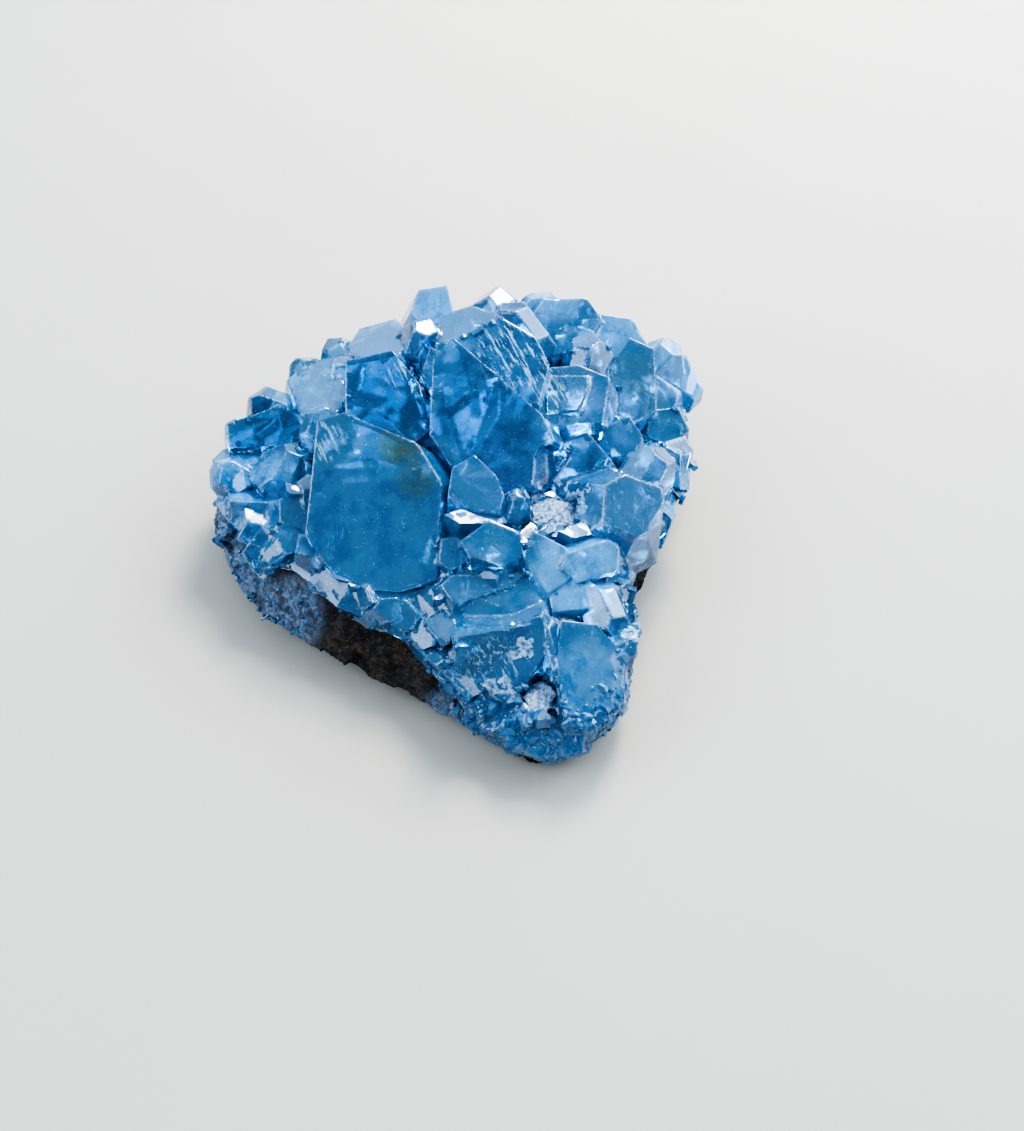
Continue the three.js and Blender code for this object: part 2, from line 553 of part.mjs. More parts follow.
const cluster = new THREE.Group();
cluster.add(piece("host_rock", toGeometry(rockSolid()), finish.rock));
cluster.add(piece("celestine_crystals", toGeometry(crystals), finish.celestine));
for (const c of CRUMBS) {
  const seated = largest(toSolid(crumb(c)).subtract(grownRock));
  cluster.add(piece(c.name, toGeometry(seated), finish.chalk));
}

// The origin goes under the exact middle of the finished specimen.
const middle = new THREE.Box3().setFromObject(cluster).getCenter(new THREE.Vector3());
cluster.position.set(-middle.x, -middle.y, 0);

export default cluster;
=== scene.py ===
import logging
import math
import random
from dataclasses import dataclass
from enum import Enum

import bmesh
import bpy
from mathutils import Euler, Matrix, Vector, noise
from mathutils.bvhtree import BVHTree
from mathutils.kdtree import KDTree


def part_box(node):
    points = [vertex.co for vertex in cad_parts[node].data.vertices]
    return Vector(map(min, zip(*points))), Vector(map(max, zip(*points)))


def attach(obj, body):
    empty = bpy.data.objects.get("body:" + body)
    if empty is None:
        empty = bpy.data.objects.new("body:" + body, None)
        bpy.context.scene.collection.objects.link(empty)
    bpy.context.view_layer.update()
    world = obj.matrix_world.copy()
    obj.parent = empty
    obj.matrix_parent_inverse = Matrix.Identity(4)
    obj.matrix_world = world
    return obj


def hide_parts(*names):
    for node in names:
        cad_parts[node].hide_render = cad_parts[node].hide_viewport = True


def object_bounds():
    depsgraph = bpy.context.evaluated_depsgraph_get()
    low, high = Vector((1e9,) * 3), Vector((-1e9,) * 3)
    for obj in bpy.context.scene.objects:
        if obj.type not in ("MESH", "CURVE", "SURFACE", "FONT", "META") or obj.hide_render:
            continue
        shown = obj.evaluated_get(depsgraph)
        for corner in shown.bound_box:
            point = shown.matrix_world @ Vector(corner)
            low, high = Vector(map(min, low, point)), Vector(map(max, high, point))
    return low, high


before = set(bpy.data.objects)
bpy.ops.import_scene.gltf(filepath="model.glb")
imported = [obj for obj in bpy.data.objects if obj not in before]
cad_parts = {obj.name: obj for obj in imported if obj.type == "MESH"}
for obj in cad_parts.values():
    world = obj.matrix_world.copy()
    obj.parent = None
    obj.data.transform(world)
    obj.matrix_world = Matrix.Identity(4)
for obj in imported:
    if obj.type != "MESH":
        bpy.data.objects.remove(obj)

MM = 0.001
SAME_PLACE_MM = 0.002
UP = Vector((0, 0, 1))
CAD_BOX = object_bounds()
LOG = logging.getLogger("celestite")


class Slot(Enum):
    """The record's material slots."""

    ROCK = "host_rock"
    CRYSTAL = "celestine"
    PALE = "pale_rock"


@dataclass(frozen=True)
class Place:
    """A round region of the specimen, in millimetres of the part's frame."""

    x: float
    y: float
    z: float
    reach: float
    share: float = 1.0

    def weight(self, point: Vector) -> float:
        """How much a point belongs to this place.

        Args:
            point: a point of the part, in metres.

        Returns:
            The place's share well inside it, falling smoothly to 0 outside it.
        """
        distance = (point - Vector((self.x, self.y, self.z)) * MM).length / (self.reach * MM)
        return self.share * smooth_step(1.25 - distance, 0.0, 0.6)


def smooth_step(value: float, low: float, high: float) -> float:
    """Blends from 0 at low to 1 at high.

    Args:
        value: the number to look up.
        low: where the blend starts.
        high: where the blend ends.

    Returns:
        The blend at value.
    """
    share = min(1.0, max(0.0, (value - low) / (high - low)))
    return share * share * (3 - 2 * share)


def strongest(places: tuple[Place, ...], point: Vector) -> float:
    """The weight of the place that a point belongs to most.

    Args:
        places: the places to test.
        point: a point of the part, in metres.

    Returns:
        The largest weight, or 0 where there is no place.
    """
    return max((place.weight(point) for place in places), default=0.0)


def linear(hex_colour: str) -> tuple[float, float, float, float]:
    """Turns an sRGB hex colour to linear light.

    Args:
        hex_colour: six hex digits after a hash sign.

    Returns:
        Red, green, blue and an alpha of 1.
    """
    channels = [int(hex_colour[i : i + 2], 16) / 255 for i in (1, 3, 5)]
    red, green, blue = [c / 12.92 if c <= 0.04045 else ((c + 0.055) / 1.055) ** 2.4 for c in channels]
    return red, green, blue, 1.0


SocketValue = float | str | tuple[float, ...] | bpy.types.NodeSocket
SMOOTH = {"interpolation_type": "SMOOTHSTEP"}
COLOURS = {"data_type": "RGBA"}
PLUS = {"operation": "ADD"}
TIMES = {"operation": "MULTIPLY"}
LARGER = {"operation": "MAXIMUM"}


def add_node(tree: bpy.types.NodeTree, kind: str, settings: dict[str, str] | None = None,
             wanted: int | str | None = 0, **sockets: SocketValue) -> bpy.types.NodeSocket | None:
    """Adds a shader node with its settings, values and links.

    Args:
        tree: the node tree that gets the node.
        kind: the node's type without ShaderNode, such as TexNoise.
        settings: properties of the node itself.
        wanted: the name or the place of the output that is wanted, or None.
        sockets: values, hex colours or outputs for the inputs, by name with underscores for spaces, or by
            place after an i.

    Returns:
        The wanted output, or None.
    """
    node = tree.nodes.new("ShaderNode" + kind)
    for name, value in (settings or {}).items():
        setattr(node, name, value)
    for name, value in sockets.items():
        socket = node.inputs[int(name[1:]) if name[1:].isdigit() else name.replace("_", " ")]
        if isinstance(value, bpy.types.NodeSocket):
            tree.links.new(value, socket)
        else:
            socket.default_value = linear(value) if isinstance(value, str) else value
    return None if wanted is None else node.outputs[wanted]


def scale_for(width_mm: float) -> float:
    """The scale of a noise or cell pattern whose lumps are about this wide."""
    return 1 / (width_mm * MM)


class Recipe:
    """A material in the making: its shader nodes, and the object's own coordinates that its patterns read."""

    def __init__(self, name: str) -> None:
        """Starts a material without nodes.

        Args:
            name: the material's name.
        """
        self.material = bpy.data.materials.new(name)
        self.material.use_nodes = True
        self.material.node_tree.nodes.clear()
        self.where = add_node(self.material.node_tree, "TexCoord", None, "Object")

    def add(self, kind: str, settings: dict[str, str] | None = None, wanted: int | str | None = 0,
            **sockets: SocketValue) -> bpy.types.NodeSocket | None:
        """Adds a node to this material, in the way of add_node."""
        return add_node(self.material.node_tree, kind, settings, wanted, **sockets)

    def facets(self, width_mm: float, tilt: float,
               squeezed: tuple[float, float, float] = (1.0, 1.0, 1.0)) -> bpy.types.NodeSocket:
        """A height that breaks a surface into flat facets, each tilted its own way.

        Args:
            width_mm: how wide a facet is.
            tilt: how steep the facets are.
            squeezed: how much narrower than their length they are along each axis.

        Returns:
            The height in metres.
        """
        where = self.add("Mapping", Vector=self.where, Scale=squeezed)
        middle = self.add("TexVoronoi", None, "Position", Vector=where, Scale=scale_for(width_mm))
        offset = self.add("VectorMath", {"operation": "SUBTRACT"}, i0=where, i1=middle)
        lean = self.add("VectorMath", {"operation": "MULTIPLY_ADD"}, i0=middle.node.outputs["Color"],
                        i1=(2 * tilt, 2 * tilt, 2 * tilt), i2=(-tilt, -tilt, -tilt))
        return self.add("VectorMath", {"operation": "DOT_PRODUCT"}, "Value", i0=offset, i1=lean)


@dataclass(frozen=True)
class ClearCelestine:
    """Clear celestine, strontium sulphate, grown free in a geode and never cut.

    Its faces are as they grew, so they mirror softly under a glassy skin. Light that goes in comes back sky
    blue, clouded by thin milky growth zones. Where it broke it is splintered, paler and less clear.
    """

    ior: float = 1.62
    absorbed: str = "#93d5f8"
    density: float = 24.0
    clear_share: float = 0.8
    broken_clear_share: float = 0.45
    coat_weight: float = 0.5
    coat_roughness: float = 0.06
    darkest: str = "#1a7fbe"
    deep: str = "#48a4e2"
    middle: str = "#6cc0f6"
    pale: str = "#78c2f3"
    stain: str = "#84a05f"
    painted_gap_shade: str = "#0a3768"
    painted_gap_shade_share: float = 0.78
    break_and_glint_white: str = "#b4def8"
    chalk_shade: str = "#7391b0"
    chalk_light: str = "#c0d3e3"
    chalk_roughness: float = 0.8
    growth_zone_mm: float = 3.6
    cloudiness: float = 0.9
    patch_mm: float = 2.6
    splinter_mm: float = 2.0
    splinter_tilt: float = 0.3
    splinter_shape: tuple[float, float, float] = (1.0, 0.45, 0.4)
    chip_mm: float = 0.8
    grain_mm: float = 0.7
    grain_depth_mm: float = 0.5
    feather_mm: float = 0.6
    feather_length: float = 6.0
    feather_turn: tuple[float, float, float] = (0.0, 0.37, -1.07)
    # Real etch pits and specks are a tenth as wide. They are drawn as coarse as they need to show.
    etch_pit_mm: float = 0.35
    # The white specks are partly dust and chips, partly painted glints.
    speck_and_glint_mm: float = 0.32

    def body(self, mix: Recipe) -> bpy.types.NodeSocket:
        """The crystals' colour: deep to pale blue in clouds and in painted shade and light, olive where iron
        got in.

        Args:
            mix: the material in the making.

        Returns:
            The colour's output.
        """
        zones = mix.add("TexNoise", Vector=mix.where, Scale=scale_for(self.growth_zone_mm), Detail=4.0,
                        Roughness=0.62)
        clouds = mix.add("MapRange", SMOOTH, Value=zones, From_Min=0.32, From_Max=0.68,
                         To_Min=-self.cloudiness, To_Max=self.cloudiness)
        # The tone is partly the crystals' own colour and partly painted shade and light.
        tone = mix.add("Attribute", {"attribute_name": "tone"}, "Fac")
        clouded = mix.add("Math", PLUS, i0=tone, i1=clouds)
        colour = self.darkest
        for low, high, shade in ((-2.2, -1.0, self.deep), (-1.1, 0.1, self.middle), (0.0, 1.1, self.pale)):
            share = mix.add("MapRange", SMOOTH, Value=clouded, From_Min=low, From_Max=high)
            colour = mix.add("Mix", COLOURS, 2, i0=share, i6=colour, i7=shade)
        uneven = mix.add("MapRange", SMOOTH, Value=zones, From_Min=0.2, From_Max=0.6, To_Min=0.2,
                         To_Max=0.85)
        stained = mix.add("Attribute", {"attribute_name": "stained"}, "Fac")
        iron = mix.add("Math", TIMES, i0=stained, i1=uneven)
        return mix.add("Mix", COLOURS, 2, i0=iron, i6=colour, i7=self.stain)

    def whiteness(self, mix: Recipe) -> bpy.types.NodeSocket:
        """Where the surface is chipped, splintered, feathered or specked with white, with painted highlights
        along the edges and painted glints among the specks.

        Args:
            mix: the material in the making.

        Returns:
            The whiteness, from 0 to 1.
        """
        seams, crests, broken, feathered = [mix.add("Attribute", {"attribute_name": name}, "Fac")
                                            for name in ("seam", "crest", "broken", "feathered")]
        chips = mix.add("TexNoise", Vector=mix.where, Scale=scale_for(self.chip_mm), Detail=3.0,
                        Roughness=0.7)
        # Pale lines along seams and crests: partly chips, partly painted highlights on the edges.
        folds = mix.add("Math", LARGER, i0=seams, i1=crests)
        near_folds = mix.add("MapRange", SMOOTH, Value=folds, From_Min=0.58, From_Max=1.0)
        edge_breakup = mix.add("MapRange", SMOOTH, Value=chips, From_Min=0.44, From_Max=0.64, To_Min=0.05,
                           To_Max=0.6)
        worn_and_edge_highlights = mix.add("Math", TIMES, i0=near_folds, i1=edge_breakup)
        splinters = mix.add("MapRange", SMOOTH, Value=chips, From_Min=0.52, From_Max=0.68, To_Min=0.0,
                            To_Max=0.55)
        splintered = mix.add("Math", TIMES, i0=broken, i1=splinters)
        combed = mix.add("Mapping", {"vector_type": "TEXTURE"}, Vector=mix.where,
                         Rotation=self.feather_turn, Scale=(self.feather_length, 1.0, 1.0))
        plumes = mix.add("TexNoise", Vector=combed, Scale=scale_for(self.feather_mm), Detail=3.0,
                         Roughness=0.65)
        streaks = mix.add("MapRange", SMOOTH, Value=plumes, From_Min=0.5, From_Max=0.63, To_Min=0.0,
                          To_Max=0.9)
        feathers = mix.add("Math", TIMES, i0=feathered, i1=streaks)
        # White specks: partly dust and chips, partly painted glints.
        speck_noise = mix.add("TexNoise", Vector=mix.where, Scale=scale_for(self.speck_and_glint_mm), Detail=1.0,
                       Roughness=0.55)
        specks_and_glints = mix.add("MapRange", SMOOTH, Value=speck_noise, From_Min=0.69, From_Max=0.74, To_Min=0.0,
                         To_Max=0.55)
        white = worn_and_edge_highlights
        for kind in (splintered, feathers, specks_and_glints):
            white = mix.add("Math", LARGER, i0=white, i1=kind)
        return white

    def chalk(self, mix: Recipe, grains: bpy.types.NodeSocket,
              openness: bpy.types.NodeSocket) -> bpy.types.NodeSocket:
        """Where a crust of white granular rock still sticks to the crystals.

        Args:
            mix: the material in the making.
            grains: the noise of the crust's grains.
            openness: how much of the sky the surface sees.

        Returns:
            The crust's cover, from 0 to 1.
        """
        spread = mix.add("TexNoise", Vector=mix.where, Scale=scale_for(self.patch_mm), Detail=3.0,
                         Roughness=0.55)
        ragged = mix.add("MapRange", SMOOTH, Value=spread, From_Min=0.3, From_Max=0.7, To_Min=-1.1,
                         To_Max=0.3)
        chalky = mix.add("Attribute", {"attribute_name": "chalky"}, "Fac")
        patches = mix.add("Math", PLUS, i0=chalky, i1=ragged)
        cover = mix.add("MapRange", SMOOTH, Value=patches, From_Min=0.3, From_Max=0.5)
        for value, low, high in ((grains, 0.36, 0.5), (openness, 0.0, 0.2)):
            share = mix.add("MapRange", SMOOTH, Value=value, From_Min=low, From_Max=high)
            cover = mix.add("Math", TIMES, i0=cover, i1=share)
        return cover

    def material(self) -> bpy.types.Material:
        """The finish of the fused crystals: grown glassy faces, splintered and whitish where they broke, with
        painted shade in the gaps and painted highlights along the edges.

        Returns:
            The material.
        """
        mix = Recipe("celestine_clear_blue")
        broken, openness = [mix.add("Attribute", {"attribute_name": name}, "Fac")
                            for name in ("broken", "open")]
        grains = mix.add("TexNoise", Vector=mix.where, Scale=scale_for(self.grain_mm), Detail=3.0,
                         Roughness=0.7)
        pits = mix.add("TexNoise", Vector=mix.where, Scale=scale_for(self.etch_pit_mm), Detail=2.0,
                       Roughness=0.55)
        white = self.whiteness(mix)
        chalk = self.chalk(mix, grains, openness)

        # Painted shade: faces that see little sky, deep in the gaps and in the cleft, are darkened towards
        # navy.
        sheltered = mix.add("MapRange", SMOOTH, Value=openness, From_Min=0.1, From_Max=0.55, To_Min=1.0,
                            To_Max=0.0)
        painted_gap_shade = mix.add("Math", TIMES, i0=sheltered, i1=self.painted_gap_shade_share)
        lightness = mix.add("MapRange", SMOOTH, Value=grains, From_Min=0.45, From_Max=0.62)
        crust = mix.add("Mix", COLOURS, 2, i0=lightness, i6=self.chalk_shade, i7=self.chalk_light)
        colour = self.body(mix)
        # Painted gap shade first, then the whites with their painted highlights and glints, then the crust.
        for share, shade in ((painted_gap_shade, self.painted_gap_shade), (white, self.break_and_glint_white), (chalk, crust)):
            colour = mix.add("Mix", COLOURS, 2, i0=share, i6=colour, i7=shade)

        splinters = mix.facets(self.splinter_mm, self.splinter_tilt, self.splinter_shape)
        normal = mix.add("Bump", Height=splinters, Distance=1.0, Strength=broken)
        crusted = mix.add("Math", TIMES, i0=chalk, i1=self.chalk_roughness)
        normal = mix.add("Bump", Height=grains, Distance=self.grain_depth_mm * MM, Strength=crusted,
                         Normal=normal)

        etched = mix.add("MapRange", SMOOTH, Value=pits, From_Min=0.4, From_Max=0.7, To_Min=0.08,
                         To_Max=0.2)
        frosted = mix.add("Math", TIMES, i0=white, i1=0.2)
        dull = mix.add("Math", PLUS, i0=etched, i1=frosted)
        dull = mix.add("Math", LARGER, i0=dull, i1=crusted)
        cloudy = mix.add("Math", LARGER, i0=white, i1=broken)
        clear = mix.add("MapRange", SMOOTH, Value=cloudy, From_Min=0.0, From_Max=1.0,
                        To_Min=self.clear_share, To_Max=self.broken_clear_share)
        bare = mix.add("MapRange", SMOOTH, Value=chalk, From_Min=0.0, From_Max=1.0, To_Min=1.0, To_Max=0.0)
        clear = mix.add("Math", TIMES, i0=clear, i1=bare)
        shader = mix.add("BsdfPrincipled", Base_Color=colour, Roughness=dull, Normal=normal, IOR=self.ior,
                         Transmission_Weight=clear, Coat_Weight=self.coat_weight,
                         Coat_Roughness=self.coat_roughness)
        inside = mix.add("VolumeAbsorption", Color=self.absorbed, Density=self.density)
        mix.add("OutputMaterial", None, None, Surface=shader, Volume=inside)
        return mix.material


@dataclass(frozen=True)
class MilkyDruse:
    """Fine celestine druse, grown as a crust of small crystals.

    They are half clear and their many faces sparkle, so from afar they look like wet sugar, pale grey blue.
    """

    ripple: float = 0.02
    ior: float = 1.62
    clear_share: float = 0.6
    absorbed: str = "#8fd8f6"
    density: float = 60.0
    tint: str = "#4a98d2"
    pale: str = "#84b8e2"
    patch_mm: float = 4.0
    step_mm: float = 1.3
    # Real pits are a tenth as wide. They are drawn as coarse as they need to show.
    pit_mm: float = 0.3
    pit_depth_mm: float = 0.04

    def material(self) -> bpy.types.Material:
        """The finish of the small crystals at the rims and in the gaps.

        Returns:
            The material.
        """
        mix = Recipe("celestine_sugary_druse")
        patches = mix.add("TexNoise", Vector=mix.where, Scale=scale_for(self.patch_mm), Detail=3.0,
                          Roughness=0.55)
        share = mix.add("MapRange", SMOOTH, Value=patches, From_Min=0.35, From_Max=0.65)
        colour = mix.add("Mix", COLOURS, 2, i0=share, i6=self.tint, i7=self.pale)
        pits = mix.add("TexNoise", Vector=mix.where, Scale=scale_for(self.pit_mm), Detail=2.0,
                       Roughness=0.55)
        steps = mix.facets(self.step_mm, self.ripple)
        normal = mix.add("Bump", Height=steps, Distance=1.0, Strength=1.0)
        normal = mix.add("Bump", Height=pits, Distance=self.pit_depth_mm * MM, Strength=0.3, Normal=normal)
        dull = mix.add("MapRange", SMOOTH, Value=pits, From_Min=0.4, From_Max=0.7, To_Min=0.05, To_Max=0.2)
        shader = mix.add("BsdfPrincipled", Base_Color=colour, Roughness=dull, Normal=normal, IOR=self.ior,
                         Transmission_Weight=self.clear_share)
        inside = mix.add("VolumeAbsorption", Color=self.absorbed, Density=self.density)
        mix.add("OutputMaterial", None, None, Surface=shader, Volume=inside)
        return mix.material


@dataclass(frozen=True)
class HealedCrack:
    """A healed crack: a film of tiny fluid bubbles that were trapped when a crack inside the crystal closed.

    They scatter the light, so the film shows as white wisps, see-through between them.
    """

    colour: str = "#d5eafb"
    roughness: float = 0.45
    wisp_mm: float = 1.1
    wisp_stretch: tuple[float, float, float] = (1.0, 0.22, 1.0)
    wisp_turn: tuple[float, float, float] = (0.0, 0.0, -0.35)
    cover: float = 0.8

    def material(self) -> bpy.types.Material:
        """The finish of the films inside the crystals.

        Returns:
            The material.
        """
        mix = Recipe("healed_crack_white")
        drawn = mix.add("Mapping", Vector=mix.where, Scale=self.wisp_stretch, Rotation=self.wisp_turn)
        wisps = mix.add("TexNoise", Vector=drawn, Scale=scale_for(self.wisp_mm), Detail=5.0, Roughness=0.65)
        alpha = mix.add("MapRange", SMOOTH, Value=wisps, From_Min=0.5, From_Max=0.66, To_Min=0.0,
                        To_Max=self.cover)
        shader = mix.add("BsdfPrincipled", Base_Color=self.colour, Roughness=self.roughness, Alpha=alpha)
        mix.add("OutputMaterial", None, None, Surface=shader)
        return mix.material


@dataclass(frozen=True)
class HostRock:
    """Carbonate host rock, broken from the wall of the geode.

    Its break is rough and matt, dark brown to grey, ochre where iron stained it. Towards the crystals a fine
    druse frosts it pale blue grey, and that sparkles.
    """

    dark: str = "#1d1714"
    grey: str = "#524a45"
    ochre: str = "#5a4432"
    soot: str = "#12100f"
    grit: str = "#8d7a66"
    frost: str = "#6f8bab"
    bed: str = "#eaf2f8"
    bed_mm: float = 6.0
    stain_mm: float = 4.4
    grain_mm: float = 0.9
    # Real grit is finer. It is drawn as coarse as it needs to show.
    grit_mm: float = 0.3
    sparkle_mm: float = 1.1
    sparkle_tilt: float = 0.5
    bed_depth_mm: float = 1.2
    grain_depth_mm: float = 0.4
    grit_depth_mm: float = 0.12
    matt: float = 0.85
    sparkling: float = 0.25

    def material(self) -> bpy.types.Material:
        """The finish of the broken slab.

        Returns:
            The material.
        """
        mix = Recipe("host_rock_rough")
        under, frost = [mix.add("Attribute", {"attribute_name": name}, "Fac") for name in ("bed", "frost")]
        coarse, stains, fine, grit = [
            mix.add("TexNoise", Vector=mix.where, Scale=scale_for(width), Detail=detail, Roughness=roughness)
            for width, detail, roughness in ((self.bed_mm, 5.0, 0.55), (self.stain_mm, 4.0, 0.55),
                                             (self.grain_mm, 4.0, 0.65), (self.grit_mm, 2.0, 0.55))]
        colour = self.dark
        for value, low, high, top, shade in (
                (coarse, 0.4, 0.66, 1.0, self.grey), (stains, 0.48, 0.64, 1.0, self.ochre),
                (fine, 0.35, 0.65, 0.85, self.soot), (grit, 0.58, 0.72, 0.6, self.grit)):
            share = mix.add("MapRange", SMOOTH, Value=value, From_Min=low, From_Max=high, To_Max=top)
            colour = mix.add("Mix", COLOURS, 2, i0=share, i6=colour, i7=shade)
        patchy = mix.add("MapRange", SMOOTH, Value=fine, From_Min=0.4, From_Max=0.62, To_Min=0.25)
        sparkle = mix.add("Math", TIMES, i0=frost, i1=patchy)
        colour = mix.add("Mix", COLOURS, 2, i0=sparkle, i6=colour, i7=self.frost)
        hidden = mix.add("MapRange", SMOOTH, Value=under, From_Min=0.8, From_Max=1.0)
        colour = mix.add("Mix", COLOURS, 2, i0=hidden, i6=colour, i7=self.bed)
        normal = mix.add("Bump", Height=coarse, Distance=self.bed_depth_mm * MM, Strength=0.5)
        for height, depth_mm, strength in ((fine, self.grain_depth_mm, 0.7), (grit, self.grit_depth_mm, 0.5)):
            normal = mix.add("Bump", Height=height, Distance=depth_mm * MM, Strength=strength, Normal=normal)
        crystals = mix.add("Math", TIMES, i0=mix.facets(self.sparkle_mm, self.sparkle_tilt), i1=frost)
        normal = mix.add("Bump", Height=crystals, Distance=1.0, Strength=1.0, Normal=normal)
        dull = mix.add("MapRange", SMOOTH, Value=frost, From_Min=0.0, From_Max=1.0, To_Min=self.matt,
                       To_Max=self.sparkling)
        shader = mix.add("BsdfPrincipled", Base_Color=colour, Roughness=dull, Normal=normal)
        mix.add("OutputMaterial", None, None, Surface=shader)
        return mix.material


@dataclass(frozen=True)
class ChalkyRock:
    """Weathered carbonate, crushed between the crystals: white to grey grains with dark gaps, like salt."""

    pale: str = "#b4c8da"
    shade: str = "#6586a8"
    grain_mm: float = 0.7
    grain_depth_mm: float = 0.25
    roughness: float = 0.8

    def material(self) -> bpy.types.Material:
        """The finish of the pale crumbs.

        Returns:
            The material.
        """
        mix = Recipe("chalky_rock_granular")
        grains = mix.add("TexNoise", Vector=mix.where, Scale=scale_for(self.grain_mm), Detail=3.0,
                         Roughness=0.7)
        share = mix.add("MapRange", SMOOTH, Value=grains, From_Min=0.4, From_Max=0.6)
        colour = mix.add("Mix", COLOURS, 2, i0=share, i6=self.shade, i7=self.pale)
        normal = mix.add("Bump", Height=grains, Distance=self.grain_depth_mm * MM, Strength=0.8)
        shader = mix.add("BsdfPrincipled", Base_Color=colour, Roughness=self.roughness, Normal=normal)
        mix.add("OutputMaterial", None, None, Surface=shader)
        return mix.material


@dataclass(frozen=True)
class PlainFloor:
    """A board with matt emulsion paint rolled on: even, with the faintest change of tone."""

    colour: str = "#c6bcae"
    shade: str = "#bdb2a4"
    patch_mm: float = 40.0
    roughness: float = 0.8

    def material(self) -> bpy.types.Material:
        """The finish of the floor.

        Returns:
            The material.
        """
        mix = Recipe("studio_floor_matt")
        patches = mix.add("TexNoise", Vector=mix.where, Scale=scale_for(self.patch_mm), Detail=3.0,
                          Roughness=0.55)
        share = mix.add("MapRange", SMOOTH, Value=patches, From_Min=0.3, From_Max=0.7, To_Max=0.15)
        tone = mix.add("Mix", COLOURS, 2, i0=share, i6=self.colour, i7=self.shade)
        shader = mix.add("BsdfPrincipled", Base_Color=tone, Roughness=self.roughness)
        mix.add("OutputMaterial", None, None, Surface=shader)
        return mix.material


def new_object(name: str, mesh: bmesh.types.BMesh, material: bpy.types.Material) -> bpy.types.Object:
    """Makes an object at the origin from a finished mesh.

    Args:
        name: the object's name.
        mesh: the mesh, which is freed.
        material: its finish.

    Returns:
        The object, linked to the scene.
    """
    data = bpy.data.meshes.new(name)
    mesh.to_mesh(data)
    mesh.free()
    data.materials.append(material)
    piece = bpy.data.objects.new(name, data)
    bpy.context.scene.collection.objects.link(piece)
    return piece


def finish_piece(piece: bpy.types.Object, slot: Slot, *nodes: str) -> None:
    """Puts a piece under the root body, hides the CAD nodes that it stands for and reports it.

    Args:
        piece: the finished piece.
        slot: the record's slot of the piece; it is not used.
        nodes: the CAD nodes that it stands for.
    """
    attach(piece, "root")
    if nodes:
        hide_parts(*nodes)
    LOG.info("%s: %d faces", piece.name, len(piece.data.polygons))


def merged_copy(node: str) -> bmesh.types.BMesh:
    """Copies a CAD node as one joined mesh.

    Args:
        node: the node's name.

    Returns:
        A new mesh.
    """
    mesh = bmesh.new()
    mesh.from_mesh(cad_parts[node].data)
    bmesh.ops.remove_doubles(mesh, verts=mesh.verts, dist=SAME_PLACE_MM * MM)
    return mesh


def refine(mesh: bmesh.types.BMesh, longest_mm: float, rounds: int) -> None:
    """Splits long edges until the surface is fine enough to carry relief.

    Args:
        mesh: the mesh that is refined.
        longest_mm: edges longer than this are halved.
        rounds: how often that is done.
    """
    for _ in range(rounds):
        long = [e for e in mesh.edges if e.calc_length() > longest_mm * MM]
        if not long:
            break
        bmesh.ops.subdivide_edges(mesh, edges=long, cuts=1, use_grid_fill=False)
        bmesh.ops.triangulate(mesh, faces=mesh.faces)


def paint(piece: bpy.types.Object, name: str, values: list[float]) -> None:
    """Stores one number for each vertex of a piece.

    Args:
        piece: the piece.
        name: the attribute's name.
        values: one number for each vertex.
    """
    attribute = piece.data.attributes.new(name, "FLOAT", "POINT")
    attribute.data.foreach_set("value", values)


def tilted(elevation_deg: float, azimuth_deg: float) -> Vector:
    """Gives a direction.

    Args:
        elevation_deg: its angle above the horizon, in degrees.
        azimuth_deg: its angle around from +X, in degrees.

    Returns:
        A vector one long.
    """
    elevation, azimuth = math.radians(elevation_deg), math.radians(azimuth_deg)
    return Vector((math.cos(elevation) * math.cos(azimuth), math.cos(elevation) * math.sin(azimuth),
                   math.sin(elevation)))


def keep_inside(mesh: bmesh.types.BMesh) -> None:
    """Brings vertices that stand out of the CAD model's box back to its sides.

    Args:
        mesh: the mesh.
    """
    low, high = CAD_BOX
    for vertex in mesh.verts:
        vertex.co = Vector(min(max(c, a), b) for c, a, b in zip(vertex.co, low, high))


LEFT_RIM = (Place(-44.0, 3.0, 13.0, 13.0), Place(-40.0, -14.0, 6.0, 12.0))
LEFT_RIM_GROWTH_MM = 2.0


def grow_left_rim(mesh: bmesh.types.BMesh) -> None:
    """Lets the left rim stand out to where the specimen ends, inside the CAD model's box.

    Args:
        mesh: the crystals or the rock.
    """
    for vertex in mesh.verts:
        outward = Vector((vertex.co.x, vertex.co.y, 0)).normalized()
        vertex.co += outward * strongest(LEFT_RIM, vertex.co) * LEFT_RIM_GROWTH_MM * MM


